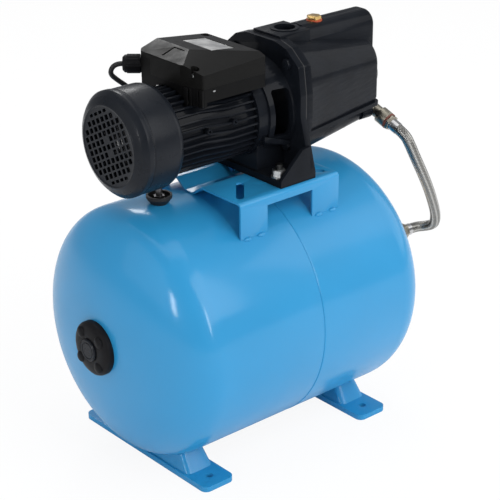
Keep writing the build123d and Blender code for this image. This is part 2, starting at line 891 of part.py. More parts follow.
with BuildPart() as support_stud:
    with BuildSketch(Plane.XY.offset(cup_floor_z)):
        with Locations((support_x, 0)):
            RegularPolygon(stud_nut_radius, 6)
    extrude(amount=stud_nut_high)
    with BuildSketch(Plane.XY.offset(cup_floor_z)):
        with Locations((support_x, 0)):
            Circle(stud_radius)
    extrude(amount=boss_bottom_z - cup_floor_z)
support_stud.part.label = "support_stud"
export_step(support_stud.part, "parts/support_stud.step")


# ---------------------------------------------------------------------------
# Terminal box
# ---------------------------------------------------------------------------

gland_block_x = box_left + 30
gland_block_tip = (box_left + 16.5, box_half_width + 13)
box_post_along = 16.0       # the near left corner reaches lower than the rest
box_post_across = 17.0
box_post_drop = 6.0
gland_block_y = box_half_width - 25
gland_block_top = gland_z + 15


def box_outline(z, inset):
    """The box seen from above, its near left corner cut back, drawn in by inset."""
    left = box_left + inset
    right = box_right - inset
    side = box_half_width - inset
    with BuildSketch(Plane.XY.offset(z)) as outline:
        with BuildLine():
            Polyline(
                (left + gland_corner_x, side),
                (left, side - gland_corner_y),
                (left, box_corner_y + inset - box_half_width),
                (left + box_corner_x, -side),
                (right, -side),
                (right, side),
                close=True,
            )
        make_face()
        fillet(outline.vertices(), radius=max(box_corner_radius - inset, 0.5))
    return outline.sketch


# The lid's sloping faces: a point on each and its upward direction
lid_slopes = (
    ((0, 0, lid_top_z), (-lid_top_slope, 0, 1)),
    ((box_left, 0, lid_left_z), (-lid_left_slope, 0, 1)),
    (
        (box_left + box_corner_x, -box_half_width, lid_front_z),
        (-lid_front_slope_x, -lid_front_slope_y, 1),
    ),
)
label_x = (-56.0, -14.5)
label_y = (-22.0, 42.0)
label_depth = 1.0
left_recess_x = (-108.0, -86.0)
left_recess_y = (-3.0, 19.0)


def lid_block(inset):
    """The lid's solid block: a prism cut by its top, left and front slopes."""
    with BuildPart() as block:
        extrude(box_outline(box_seam, inset), amount=60)
        for (x, y, z), upward in lid_slopes:
            split(bisect_by=Plane(origin=(x, y, z - inset), z_dir=upward), keep=Keep.BOTTOM)
    return block.part


def gland_block(inset):
    """The base's corner block that carries the gland, drawn out by inset for its notch."""
    with BuildPart() as block:
        with BuildSketch(Plane.XY.offset(gland_block_bottom - inset)):
            with BuildLine():
                Polyline(
                    (box_left - inset, gland_block_y - inset),
                    (gland_block_x + inset, gland_block_y - inset),
                    (gland_block_x + inset, box_half_width + inset),
                    (gland_block_tip[0] + 2 + inset, gland_block_tip[1] + inset),
                    (gland_block_tip[0] - inset, gland_block_tip[1] + inset),
                    (box_left - inset, box_half_width - gland_corner_y + inset),
                    close=True,
                )
            make_face()
        extrude(amount=gland_block_top - gland_block_bottom + 2 * inset)
    return block.part


lid_screws_at = ((box_left + 11, 18 - box_half_width), (box_right - 9, box_half_width - 9))
lid_notch_radius = 6.0
lid_notch_z = box_seam + 14
lid_screw_hole = 2.0
base_floor = 3.0
lid_post_radius = 5.0

gland_corner = (box_left + 8.4, box_half_width + 4)       # where the gland's axis meets the corner block
gland_along = (cos(radians(gland_turn)), sin(radians(gland_turn)))
gland_plane = Plane(
    origin=(gland_corner[0], gland_corner[1], gland_z),
    x_dir=(-gland_along[1], gland_along[0], 0),
    z_dir=(gland_along[0], gland_along[1], 0),
)
gland_bore = cord_radius + 0.5

with BuildPart() as box_post:
    extrude(box_outline(box_bottom - box_post_drop, 0), amount=pad_top - box_bottom + box_post_drop)
    with BuildSketch(Plane.XY.offset(box_bottom - box_post_drop)):
        with Locations((box_left, -box_half_width)):
            Rectangle(2 * box_post_along, 2 * box_post_across)
    extrude(amount=pad_top - box_bottom + box_post_drop, mode=Mode.INTERSECT)

with BuildPart() as terminal_box_base:
    extrude(box_outline(box_bottom, 0), amount=box_seam - box_bottom)
    extrude(box_outline(box_bottom, box_wall), amount=pad_top - box_bottom, mode=Mode.SUBTRACT)
    extrude(box_outline(pad_top + base_floor, box_wall), amount=10, mode=Mode.SUBTRACT)
    add(box_post.part)
    with BuildSketch(across(box_left)):
        Circle(fin_radius + 0.5)
    extrude(amount=motor_front_x - box_left, mode=Mode.SUBTRACT)
    with BuildSketch(across(motor_front_x - seat_gap)):
        Circle(shield_radius + 0.5)
    extrude(amount=20, mode=Mode.SUBTRACT)
    with BuildSketch(Plane.XY.offset(pad_top)):
        with Locations(*lid_screws_at):
            Circle(lid_post_radius)
    extrude(amount=box_seam - pad_top)
    add(gland_block(0))
    with BuildSketch(gland_plane):
        Circle(gland_thread_radius + 0.1)
    extrude(amount=20, both=True, mode=Mode.SUBTRACT)
    extrude(box_outline(pad_top + base_floor, box_wall + 0.2), amount=7, mode=Mode.SUBTRACT)
terminal_box_base.part.label = "terminal_box_base"
export_step(terminal_box_base.part, "parts/terminal_box_base.step")


def slope_recess(x_range, y_range, slope_at, upward, depth):
    """What a shallow rectangular recess takes out of a sloping face."""
    with BuildPart() as recess:
        with BuildSketch(Plane.XY.offset(box_seam)):
            with Locations((sum(x_range) / 2, sum(y_range) / 2)):
                Rectangle(x_range[1] - x_range[0], y_range[1] - y_range[0])
        extrude(amount=60)
        (x, y, z) = slope_at
        split(bisect_by=Plane(origin=(x, y, z - depth), z_dir=upward), keep=Keep.TOP)
    return recess.part


with BuildPart() as lid_wells:
    add(lid_block(0))
    with BuildSketch(Plane.XY.offset(lid_notch_z - box_wall)):
        with Locations(*lid_screws_at):
            Circle(lid_notch_radius + 1.5)
    extrude(amount=60, mode=Mode.INTERSECT)

with BuildPart() as terminal_box_lid:
    add(lid_block(0))
    add(lid_block(box_wall), mode=Mode.SUBTRACT)
    extrude(box_outline(box_seam, box_wall), amount=1, mode=Mode.SUBTRACT)
    add(slope_recess(label_x, label_y, *lid_slopes[0], label_depth), mode=Mode.SUBTRACT)
    add(slope_recess(left_recess_x, left_recess_y, *lid_slopes[1], label_depth), mode=Mode.SUBTRACT)
    add(lid_wells.part)
    with BuildSketch(Plane.XY.offset(lid_notch_z)):
        with Locations(*lid_screws_at):
            Circle(lid_notch_radius)
    extrude(amount=40, mode=Mode.SUBTRACT)
    with BuildSketch(Plane.XY.offset(box_seam)):
        with Locations(*lid_screws_at):
            Circle(lid_screw_hole)
    extrude(amount=40, mode=Mode.SUBTRACT)
    add(gland_block(0.3), mode=Mode.SUBTRACT)
terminal_box_lid.part.label = "terminal_box_lid"
export_step(terminal_box_lid.part, "parts/terminal_box_lid.step")

lid_screw_head = 5.0

with BuildPart() as lid_screws:
    with BuildSketch(Plane.XY.offset(pad_top + base_floor + 0.5)):
        with Locations(*lid_screws_at):
            Circle(lid_screw_hole - 0.1)
    extrude(amount=lid_notch_z - pad_top - base_floor)
    with BuildSketch(Plane.XY.offset(lid_notch_z)):
        with Locations(*lid_screws_at):
            Circle(lid_screw_head)
    extrude(amount=2.6)
    with BuildSketch(Plane.XY.offset(lid_notch_z + 2.6)):
        with Locations(*lid_screws_at):
            Rectangle(2 * lid_screw_head, 1.2, rotation=35)
            Rectangle(1.2, 2 * lid_screw_head, rotation=35)
    extrude(amount=-1.4, mode=Mode.SUBTRACT)
lid_screws.part.label = "lid_screws"
export_step(lid_screws.part, "parts/lid_screws.step")

box_floor_z = pad_top + base_floor
terminals = 3
terminal_pitch = 12.0
terminal_block_x = -60.0
terminal_block_y = -22.0

with BuildPart() as terminal_block:
    with BuildSketch(Plane.XY.offset(box_floor_z)):
        with Locations((terminal_block_x, terminal_block_y)):
            RectangleRounded(terminals * terminal_pitch + 4, 18, 2)
    extrude(amount=12)
    with BuildSketch(Plane.XY.offset(box_floor_z + 12)):
        with Locations((terminal_block_x, terminal_block_y)):
            with GridLocations(terminal_pitch, 0, terminals, 1):
                Circle(3)
    extrude(amount=-5, mode=Mode.SUBTRACT)
terminal_block.part.label = "terminal_block"
export_step(terminal_block.part, "parts/terminal_block.step")

capacitor_radius = 11.0
capacitor_length = 62.0

with BuildPart() as capacitor:
    with BuildSketch(across(-80, box_floor_z + capacitor_radius, 18)):
        Circle(capacitor_radius)
    extrude(amount=capacitor_length)
    fillet(capacitor.edges(), radius=1.5)
capacitor.part.label = "capacitor"
export_step(capacitor.part, "parts/capacitor.step")


# ---------------------------------------------------------------------------
# Cable gland, power cord, its coil and its plug
# ---------------------------------------------------------------------------

gland_hex_radius = 12.5
gland_hex_length = 2.0
gland_nut_wall = 3.5
gland_nut_round = 3.0
gland_ribs = 16
gland_thread_inside = 9.0

with BuildPart() as cable_gland:
    with BuildSketch(gland_plane):
        RegularPolygon(gland_hex_radius, 6)
    extrude(amount=gland_hex_length)
    with BuildSketch(gland_plane.offset(gland_hex_length)):
        Circle(gland_thread_radius)
    extrude(amount=gland_nut_length - gland_nut_wall - seat_gap)
    with BuildSketch(gland_plane):
        Circle(gland_thread_radius)
    extrude(amount=-gland_thread_inside)
    with BuildSketch(gland_plane.offset(-gland_thread_inside)):
        Circle(gland_bore)
    extrude(amount=gland_thread_inside + gland_hex_length + gland_nut_length, mode=Mode.SUBTRACT)
cable_gland.part.label = "cable_gland"
export_step(cable_gland.part, "parts/cable_gland.step")

with BuildPart() as gland_nut:
    with BuildSketch(gland_plane.offset(gland_hex_length)):
        Circle(gland_nut_radius - 1)
    extrude(amount=gland_nut_length - gland_nut_round)
    with BuildSketch(gland_plane.offset(gland_hex_length + gland_nut_length - gland_nut_round)):
        Circle(gland_nut_radius - 1)
    extrude(amount=gland_nut_round, taper=45)
    with BuildSketch(gland_plane.offset(gland_hex_length)):
        with PolarLocations(gland_nut_radius - 1.5, gland_ribs):
            Rectangle(3, 2.2)
    extrude(amount=gland_nut_length - 2 * gland_nut_round)
    with BuildSketch(gland_plane.offset(gland_hex_length)):
        Circle(gland_thread_radius + 0.1)
    extrude(amount=gland_nut_length - gland_nut_wall, mode=Mode.SUBTRACT)
gland_nut.part.label = "gland_nut"
export_step(gland_nut.part, "parts/gland_nut.step")

gland_tip = gland_plane.offset(gland_hex_length + gland_nut_length).origin
cord_floor_z = cord_radius + 0.1
coil_x = 90.0
coil_y = 270.0
coil_radius = 40.0
coil_inner = 33.0
coil_outer = 47.0
coil_high = 14.0
coil_turns = 3.5
coil_top_z = coil_high - cord_radius
plug_at = (26.0, 323.0)
plug_z = 7.0


def cord_radii(route):
    """A bend at every corner of a route, as wide as the shorter run beside it allows."""
    radii = []
    for before, corner, after in zip(route, route[1:], route[2:]):
        arriving = Vector(*corner) - Vector(*before)
        leaving = Vector(*after) - Vector(*corner)
        turn = radians(arriving.get_angle(leaving))
        radii.append(0.45 * min(arriving.length, leaving.length) / tan(turn / 2))
    return radii


def cord_tube(route, radius, bore=0):
    """A cord or hose along a route of straight runs and tangent bends."""
    with BuildPart() as tube:
        with BuildLine() as run:
            FilletPolyline(*route, radius=cord_radii(route))
        path = run.wires()[0]
        with BuildSketch(Plane(origin=path @ 0, z_dir=path % 0)):
            Circle(radius)
            if bore:
                Circle(bore, mode=Mode.SUBTRACT)
        sweep(path=path)
    section = pi * (radius ** 2 - bore ** 2)
    print("bends", [round(r, 1) for r in cord_radii(route)], "length", round(path.length, 1))
    print("volume", round(tube.part.volume), "section x length", round(section * path.length))
    return tube


cord_route = [
    tuple(gland_tip),
    (-133.4, 91.5, gland_z),
    (-139.4, 96.5, gland_z - 13.5),
    (-127.4, 95.5, gland_z - 25.5),
    (-108, 92, gland_z - 41),
    (-86, 94, 478),
    (-64, 112, 424),
    (-46, 127, 372),
    (-32, 150, 330),
    (-24, 180, 272),
    (-20, 196, 212),
    (-18, 200, 150),
    (-15, 201, 92),
    (-8, 204, 44),
    (8, 215, 13),
    (36, coil_y - coil_radius, cord_floor_z),
    (coil_x - 26, coil_y - coil_radius, cord_floor_z),
]
power_cord = cord_tube(cord_route, cord_radius)
power_cord.part.label = "power_cord"
export_step(power_cord.part, "parts/power_cord.step")

with BuildPart() as cord_coil:
    with BuildSketch():
        with Locations((coil_x, coil_y)):
            Circle(coil_outer)
            Circle(coil_inner, mode=Mode.SUBTRACT)
    extrude(amount=coil_high)
cord_coil.part.label = "cord_coil"
export_step(cord_coil.part, "parts/cord_coil.step")
print("coil", round(coil_turns * 2 * pi * coil_radius))

tail_route = [
    (coil_x - 26, coil_y + coil_radius, coil_top_z),
    (46, 312, plug_z),
    (*plug_at, plug_z),
]
cord_tail = cord_tube(tail_route, cord_radius)
cord_tail.part.label = "cord_tail"
export_step(cord_tail.part, "parts/cord_tail.step")

plug_length = 34.0
plug_wide = 36.0
plug_thick = 13.8
plug_neck = 10.0
pin_radius = 2.2
pin_length = 19.0
pin_pitch = 19.0
plug_direction = Vector(plug_at[0] - tail_route[1][0], plug_at[1] - tail_route[1][1], 0).normalized()
plug_plane = Plane(
    origin=(*plug_at, plug_z),
    x_dir=(-plug_direction.Y, plug_direction.X, 0),
    z_dir=plug_direction,
)

with BuildPart() as mains_plug:
    with BuildSketch(plug_plane):
        RectangleRounded(plug_neck, plug_neck, 3)
    with BuildSketch(plug_plane.offset(plug_length * 0.6)):
        RectangleRounded(plug_wide, plug_thick, 5)
    loft()
    with BuildSketch(plug_plane.offset(plug_length * 0.6)):
        RectangleRounded(plug_wide, plug_thick, 5)
    extrude(amount=plug_length * 0.4)
    with BuildSketch(plug_plane.offset(plug_length)):
        with GridLocations(pin_pitch, 0, 2, 1):
            Circle(pin_radius)
    extrude(amount=pin_length)
mains_plug.part.label = "mains_plug"
export_step(mains_plug.part, "parts/mains_plug.step")


# ---------------------------------------------------------------------------
# Lantern bracket between motor and pump
# ---------------------------------------------------------------------------

def plate_outline(x):
    """The many-sided outline of the plate, the gasket and the pump body's flange."""
    upper = list(plate_corners)
    lower = [(y, -z) for y, z in reversed(upper)]
    right = upper + lower
    left = [(-y, z) for y, z in reversed(right)]
    with BuildSketch(across(x, plate_mid_z)) as outline:
        with BuildLine():
            Polyline(*right, *left, close=True)
        make_face()
        fillet(outline.vertices(), radius=plate_edge_radius)
    return outline.sketch


def body_bolt_circles(x, radius):
    with BuildSketch(across(x, plate_mid_z)) as pattern:
        with GridLocations(2 * body_bolt_y, 2 * body_bolt_z, 2, 2):
            Circle(radius)
    return pattern.sketch


body_bolt_y = 57.0
body_bolt_z = 59.0          # from the plate's middle
body_bolt_radius = 4.0
body_bolt_hole = 4.4
body_bolt_head = 7.5
body_bolt_depth = 12.0

lantern_plate_radius = 72.0
lantern_face = 6.0
lantern_eye = 30.0
seal_pocket_radius = 19.0
seal_pocket_x = 52.0
seal_lip_radius = 14.0
window_left = 19.0
window_right = 47.0
gusset_in = 98.0
gusset_top = pump_axis_z - 36
web_half = 50.0
web_top = pump_axis_z - 30
bracket_foot_top = console_top + bracket_foot_thick
shelf_rib = (
    (2, web_top),
    (2, web_top + 8),
    (plate_rear_x, web_top - 9),
    (plate_rear_x, web_top - 16),
)

with BuildPart() as pump_bracket:
    extrude(plate_outline(plate_rear_x), amount=plate_front_x - plate_rear_x)
    with BuildSketch(across(plate_rear_x, 0)):
        with BuildLine():
            Polyline(
                (-bracket_foot_half, console_top),
                (-bracket_foot_half, bracket_foot_top),
                (-plate_half, pump_axis_z),
                (plate_half, pump_axis_z),
                (bracket_foot_half, bracket_foot_top),
                (bracket_foot_half, console_top),
                close=True,
            )
        make_face()
    extrude(amount=plate_front_x - plate_rear_x)
    with BuildSketch(Plane.XY.offset(console_top)):
        with Locations(((bracket_foot_left + plate_front_x) / 2, 0)):
            Rectangle(plate_front_x - bracket_foot_left, 2 * bracket_foot_half)
    extrude(amount=bracket_foot_thick)
    with BuildSketch(lengthwise()):
        with BuildLine():
            Polyline(
                (lantern_rear_x, 0),
                (lantern_rear_x, lantern_radius),
                (plate_rear_x, lantern_plate_radius),
                (plate_rear_x, 0),
                close=True,
            )
        make_face()
    revolve(axis=x_axis())
    with BuildSketch(Plane.XY.offset(console_top)):
        with Locations((plate_rear_x / 2, 0)):
            Rectangle(plate_rear_x, 2 * web_half)
    extrude(amount=web_top - console_top)
    for side in (-1, 1):
        with BuildSketch(lengthwise(0, side * bracket_foot_half)):
            with BuildLine():
                Polyline(
                    (bracket_foot_left, bracket_foot_top),
                    (plate_rear_x - 14, gusset_top - 2),
                    (plate_rear_x, gusset_top),
                    (plate_rear_x, bracket_foot_top),
                    close=True,
                )
            make_face()
        extrude(amount=side * (bracket_foot_half - gusset_in))
        with BuildSketch(lengthwise(0, side * (web_half - 2))):
            with BuildLine():
                Polyline(*shelf_rib, close=True)
            make_face()
        extrude(amount=-side * 16)
    with BuildSketch(lengthwise()):
        with BuildLine():
            Polyline(
                (lantern_rear_x + lantern_face, 0),
                (lantern_rear_x + lantern_face, lantern_radius - lantern_wall),
                (plate_rear_x, lantern_plate_radius - lantern_wall),
                (plate_rear_x, seal_lip_radius),
                (seal_pocket_x, seal_lip_radius),
                (seal_pocket_x, seal_pocket_radius),
                (plate_front_x, seal_pocket_radius),
                (plate_front_x, 0),
                close=True,
            )
        make_face()
    revolve(axis=x_axis(), mode=Mode.SUBTRACT)
    with BuildSketch(across(bracket_foot_left - 1)):
        Circle(lantern_eye)
    extrude(amount=lantern_rear_x + lantern_face - bracket_foot_left + 1, mode=Mode.SUBTRACT)
    with BuildSketch(across(bracket_foot_left - 1)):
        Circle(shield_radius + 0.3)
    extrude(amount=lantern_rear_x - bracket_foot_left + 1, mode=Mode.SUBTRACT)
    with BuildSketch(lengthwise(0, -bracket_foot_half)):
        with Locations(((window_left + window_right) / 2, (window_low_z + window_high_z) / 2)):
            RectangleRounded(window_right - window_left, window_high_z - window_low_z, 5)
    extrude(amount=-2 * bracket_foot_half, mode=Mode.SUBTRACT)
    with BuildSketch(Plane.XY.offset(console_top)):
        with Locations((foot_bolt_x, foot_bolt_y), (foot_bolt_x, -foot_bolt_y)):
            Circle(foot_bolt_hole)
    extrude(amount=bracket_foot_thick, mode=Mode.SUBTRACT)
    extrude(
        body_bolt_circles(plate_rear_x, body_bolt_hole),
        amount=plate_front_x - plate_rear_x,
        mode=Mode.SUBTRACT,
    )
    extrude(body_bolt_circles(plate_rear_x, body_bolt_head + 1.5), amount=-8, mode=Mode.SUBTRACT)
pump_bracket.part.label = "pump_bracket"
export_step(pump_bracket.part, "parts/pump_bracket.step")

# Bolts that hold the bracket down on the console
foot_bolt_head = 9.8
foot_washer_radius = 11.0
foot_washer_thick = 2.0
foot_nut_high = 9.0
foot_bolt_tip_z = console_top + 28.5
foot_bolt_at = ((foot_bolt_x, foot_bolt_y), (foot_bolt_x, -foot_bolt_y))

with BuildPart() as foot_bolts:
    with BuildSketch(Plane.XY.offset(console_top - sheet)):
        with Locations(*foot_bolt_at):
            RegularPolygon(foot_bolt_head, 6)
    extrude(amount=-6.5)
    with BuildSketch(Plane.XY.offset(console_top - sheet)):
        with Locations(*foot_bolt_at):
            Circle(foot_bolt_radius)
    extrude(amount=foot_bolt_tip_z - console_top + sheet)
    with BuildSketch(Plane.XY.offset(bracket_foot_top)):
        with Locations(*foot_bolt_at):
            Circle(foot_washer_radius)
    extrude(amount=foot_washer_thick)
    with BuildSketch(Plane.XY.offset(bracket_foot_top + foot_washer_thick)):
        with Locations(*foot_bolt_at):
            RegularPolygon(foot_bolt_head, 6)
    extrude(amount=foot_nut_high)
foot_bolts.part.label = "foot_bolts"
export_step(foot_bolts.part, "parts/foot_bolts.step")


# ---------------------------------------------------------------------------
# Wet end: seal, impeller, diffuser and ejector
# ---------------------------------------------------------------------------

seal_seat = ring(seal_pocket_x, plate_front_x, shaft_radius + 1, seal_pocket_radius - 0.1)
seal_seat.part.label = "seal_seat"
export_step(seal_seat.part, "parts/seal_seat.step")

seal_ring_x = plate_front_x + 0.3
impeller_x = 70.0
impeller_disc_x = 72.0
impeller_shroud_x = 82.0
impeller_radius = 52.0
impeller_eye = 22.0
impeller_hub = 14.0
impeller_end_x = 88.0
vanes = 6

seal_ring = ring(seal_ring_x, impeller_x, shaft_radius, impeller_hub)
seal_ring.part.label = "seal_ring"
export_step(seal_ring.part, "parts/seal_ring.step")

with BuildPart() as impeller:
    with BuildSketch(lengthwise()):
        with BuildLine():
            Polyline(
                (impeller_x, shaft_radius),
                (impeller_x, impeller_hub),
                (impeller_disc_x, impeller_hub),
                (impeller_disc_x, impeller_radius),
                (impeller_disc_x + 3, impeller_radius),
                (impeller_disc_x + 3, impeller_hub),
                (impeller_end_x, impeller_hub - 2),
                (impeller_end_x, shaft_radius),
                close=True,
            )
        make_face()
    revolve(axis=x_axis())
    with BuildSketch(across(impeller_disc_x)):
        for vane in range(vanes):
            with BuildLine():
                turn = 360 * vane / vanes
                inner = Vector(impeller_eye - 4, 0).rotate(Axis.Z, turn)
                middle = Vector((impeller_eye + impeller_radius) / 2, 0).rotate(Axis.Z, turn + 22)
                outer = Vector(impeller_radius - 1, 0).rotate(Axis.Z, turn + 60)
                ThreePointArc(inner, middle, outer)
                offset(amount=2, side=Side.LEFT)
            make_face()
    extrude(amount=impeller_shroud_x - impeller_disc_x)
    with BuildSketch(across(impeller_shroud_x)):
        Circle(impeller_radius)
        Circle(impeller_eye, mode=Mode.SUBTRACT)
    extrude(amount=3)
impeller.part.label = "impeller"
export_step(impeller.part, "parts/impeller.step")

with BuildPart() as impeller_nut:
    with BuildSketch(across(impeller_end_x)):
        RegularPolygon(11, 6)
        Circle(shaft_radius, mode=Mode.SUBTRACT)
    extrude(amount=shaft_front_x - impeller_end_x)
impeller_nut.part.label = "impeller_nut"
export_step(impeller_nut.part, "parts/impeller_nut.step")

diffuser_radius = 57.0
diffuser_wall = 3.0
diffuser_x = 92.0
diffuser_eye = 19.0
diffuser_windows = 8

with BuildPart() as diffuser:
    with BuildSketch(lengthwise()):
        with BuildLine():
            Polyline(
                (plate_front_x, diffuser_radius - diffuser_wall),
                (plate_front_x, diffuser_radius),
                (diffuser_x + diffuser_wall, diffuser_radius),
                (diffuser_x + diffuser_wall, diffuser_eye),
                (diffuser_x, diffuser_eye),
                (diffuser_x, diffuser_radius - diffuser_wall),
                close=True,
            )
        make_face()
    revolve(axis=x_axis())
    for window in range(diffuser_windows):
        turn = radians(360 / diffuser_windows * window)
        with BuildSketch(Plane(
            origin=(0, 0, pump_axis_z),
            x_dir=(1, 0, 0),
            z_dir=(0, sin(turn), cos(turn)),
        )):
            with Locations(((impeller_disc_x + impeller_shroud_x) / 2, 0)):
                Rectangle(14, 24)
        extrude(amount=diffuser_radius + 2, mode=Mode.SUBTRACT)
diffuser.part.label = "diffuser"
export_step(diffuser.part, "parts/diffuser.step")

ejector_x = diffuser_x + diffuser_wall
ejector_nose_x = 226.0
throat_radius = 6.0

ejector = turned([
    (ejector_x, diffuser_eye),
    (ejector_x, diffuser_eye + 8),
    (ejector_x + 4, diffuser_eye + 8),
    (ejector_x + 6, diffuser_eye + 3),
    (ejector_x + 60, throat_radius + 4),
    (ejector_nose_x - 18, throat_radius + 4),
    (ejector_nose_x - 10, diffuser_eye - 3),
    (ejector_nose_x, diffuser_eye - 3),
    (ejector_nose_x, diffuser_eye - 6),
    (ejector_nose_x - 8, diffuser_eye - 6),
    (ejector_nose_x - 20, throat_radius),
    (ejector_x + 60, throat_radius),
])
ejector.part.label = "ejector"
export_step(ejector.part, "parts/ejector.step")


# ---------------------------------------------------------------------------
# Pump body: a tapered barrel with a keel below and a ridge above, and four ports
# ---------------------------------------------------------------------------

ledge_proud = 2.5
ledge_thick = 6.0
ledge_z = pump_axis_z - 29.5
hose_boss_radius = 13.0
hose_port_face_x = 240.0
hose_port_bore = 6.5
drain_x = 205.0
drain_boss_radius = 11.0
drain_face_z = pump_axis_z - 67
drain_thread_radius = 5.0


def tapered(x, root, nose, end_x=body_nose_x):
    """A size that changes evenly from root at the flange to nose at end_x."""
    return root + (nose - root) * (x - body_flange_x) / (end_x - body_flange_x)


def barrel_section(x, inset):
    """The barrel's cross-section at x, with wide upper corners, drawn in by inset."""
    half = tapered(x, barrel_root_half, barrel_nose_half) - inset
    low = tapered(x, barrel_root_low, barrel_nose_low) + inset
    high = tapered(x, barrel_root_high, barrel_nose_high) - inset
    upper = tapered(x, barrel_root_round, barrel_nose_round) - inset
    with BuildSketch(across(x, (low + high) / 2)) as section:
        Rectangle(2 * half, high - low)
        fillet(section.vertices().group_by(Axis.Y)[-1], radius=upper)
        fillet(section.vertices().group_by(Axis.Y)[0], radius=barrel_low_round - inset)
    return section.sketch


def keel_section(x, inset):
    half = tapered(x, keel_root_half, keel_nose_half, keel_nose_x) - inset
    low = tapered(x, keel_root_low, keel_nose_low, keel_nose_x) + inset
    corner = tapered(x, keel_root_round, keel_nose_round, keel_nose_x) - inset
    with BuildSketch(across(x, (low + keel_high) / 2)) as section:
        RectangleRounded(2 * half, keel_high - low, corner)
    return section.sketch


def body_form(section, end_x, inset, edge):
    """The casting's barrel or keel from the flange to end_x, its far edges rounded."""
    with BuildPart() as form:
        loft([section(body_flange_x, inset), section(end_x, inset)])
        if edge:
            fillet(form.faces().sort_by(Axis.X)[-1].edges(), radius=edge)
    return form.part


def ridge(end_x, inset, edge):
    """The raised water way along the casting's top, drawn in by inset."""
    with BuildPart() as form:
        with BuildSketch(across(body_flange_x, (ridge_low + ridge_high) / 2)):
            RectangleRounded(
                2 * (ridge_half - inset), ridge_high - ridge_low - 2 * inset, ridge_round - inset,
            )
        extrude(amount=end_x - body_flange_x)
        if edge:
            fillet(form.faces().sort_by(Axis.X)[-1].edges(), radius=edge)
    return form.part


def ledge_section(x):
    half = tapered(x, barrel_root_half, barrel_nose_half) + ledge_proud
    with BuildSketch(across(x, ledge_z)) as section:
        Rectangle(2 * half, ledge_thick)
    return section.sketch


with BuildPart() as body_ledge:
    loft([ledge_section(body_flange_x), ledge_section(body_nose_x + ledge_proud)])
    nose_corners = body_ledge.faces().sort_by(Axis.X)[-1].edges().filter_by(Axis.Z)
    fillet(nose_corners, radius=body_edge_radius + ledge_proud)

with BuildPart() as pump_body:
    add(body_form(barrel_section, body_nose_x, 0, body_edge_radius))
    add(body_form(keel_section, keel_nose_x, 0, keel_edge_radius))
    add(ridge(ridge_end_x, 0, ridge_edge_radius))
    with BuildSketch(Plane.XY.offset(pad_high)):
        with Locations(((body_flange_x + port_pad_front_x) / 2, 0)):
            Rectangle(port_pad_front_x - body_flange_x, 2 * port_pad_half)
        with Locations((plug_x, 0)):
            Circle(plug_face_radius)
    extrude(amount=ridge_high - pad_high, mode=Mode.SUBTRACT)
    with BuildSketch(Plane.XY.offset(pad_low)):
        with Locations(((body_flange_x + port_pad_front_x) / 2, 0)):
            Rectangle(port_pad_front_x - body_flange_x, 2 * port_pad_half)
    extrude(amount=pad_high - pad_low)
    with BuildSketch(Plane.XY.offset(pad_high)):
        with Locations((port_x, 0)):
            Circle(port_rim_radius)
    extrude(amount=ridge_high - pad_high)
    extrude(plate_outline(body_flange_x), amount=body_flange_thick)
    add(body_ledge.part)
    with BuildSketch(across(suction_face_x, suction_z)):
        Circle(suction_boss_radius)
    extrude(amount=-suction_depth)
    with BuildSketch(across(hose_port_face_x, hose_port_z, hose_port_y)):
        Circle(hose_boss_radius)
    extrude(amount=-20)
    with BuildSketch(Plane.XY.offset(drain_face_z)):
        with Locations((drain_x, 0)):
            Circle(drain_boss_radius)
    extrude(amount=12)
    for hollow in (
        body_form(barrel_section, body_nose_x - body_wall, body_wall, 0),
        body_form(keel_section, keel_nose_x - body_wall, body_wall, 0),
        ridge(ridge_end_x - body_wall, body_wall, 0),
    ):
        add(hollow, mode=Mode.SUBTRACT)
    with BuildSketch(Plane.XY.offset(ridge_high)):
        with Locations((port_x, 0)):
            Circle(port_radius + port_wall)
    extrude(amount=-port_depth)
    with BuildSketch(across(suction_face_x, suction_z)):
        Circle(port_radius + port_wall)
    extrude(amount=-suction_depth)
    extrude(body_bolt_circles(body_flange_x, body_bolt_radius + 4.5), amount=body_bolt_depth + 3)
    extrude(
        body_bolt_circles(body_flange_x, body_bolt_radius + 0.2),
        amount=body_bolt_depth,
        mode=Mode.SUBTRACT,
    )
    with BuildSketch(Plane.XY.offset(ridge_high)):
        with Locations((port_x, 0)):
            Circle(port_radius)
        with Locations((plug_x, 0)):
            Circle(plug_thread_radius + 0.3)
    extrude(amount=-20, mode=Mode.SUBTRACT)
    with BuildSketch(across(suction_face_x, suction_z)):
        Circle(port_radius)
    extrude(amount=-suction_depth - 2, mode=Mode.SUBTRACT)
    with BuildSketch(across(hose_port_face_x, hose_port_z, hose_port_y)):
        Circle(hose_port_bore)
    extrude(amount=-24, mode=Mode.SUBTRACT)
    with BuildSketch(Plane.XY.offset(drain_face_z)):
        with Locations((drain_x, 0)):
            Circle(drain_thread_radius + 0.1)
    extrude(amount=13, mode=Mode.SUBTRACT)
pump_body.part.label = "pump_body"
export_step(pump_body.part, "parts/pump_body.step")

with BuildPart() as body_gasket:
    extrude(plate_outline(plate_front_x), amount=gasket_thick)
    with BuildSketch(across(plate_front_x, plate_mid_z)):
        Circle(diffuser_radius + 13)
    extrude(amount=gasket_thick, mode=Mode.SUBTRACT)
    extrude(body_bolt_circles(plate_front_x, body_bolt_hole), amount=gasket_thick, mode=Mode.SUBTRACT)
body_gasket.part.label = "body_gasket"
export_step(body_gasket.part, "parts/body_gasket.step")

with BuildPart() as body_bolts:
    with BuildSketch(across(plate_rear_x, plate_mid_z)):
        with GridLocations(2 * body_bolt_y, 2 * body_bolt_z, 2, 2):
            RegularPolygon(body_bolt_head, 6)
    extrude(amount=-5.5)
    extrude(
        body_bolt_circles(plate_rear_x, body_bolt_radius),
        amount=body_flange_x + body_bolt_depth - 1 - plate_rear_x,
    )
body_bolts.part.label = "body_bolts"
export_step(body_bolts.part, "parts/body_bolts.step")

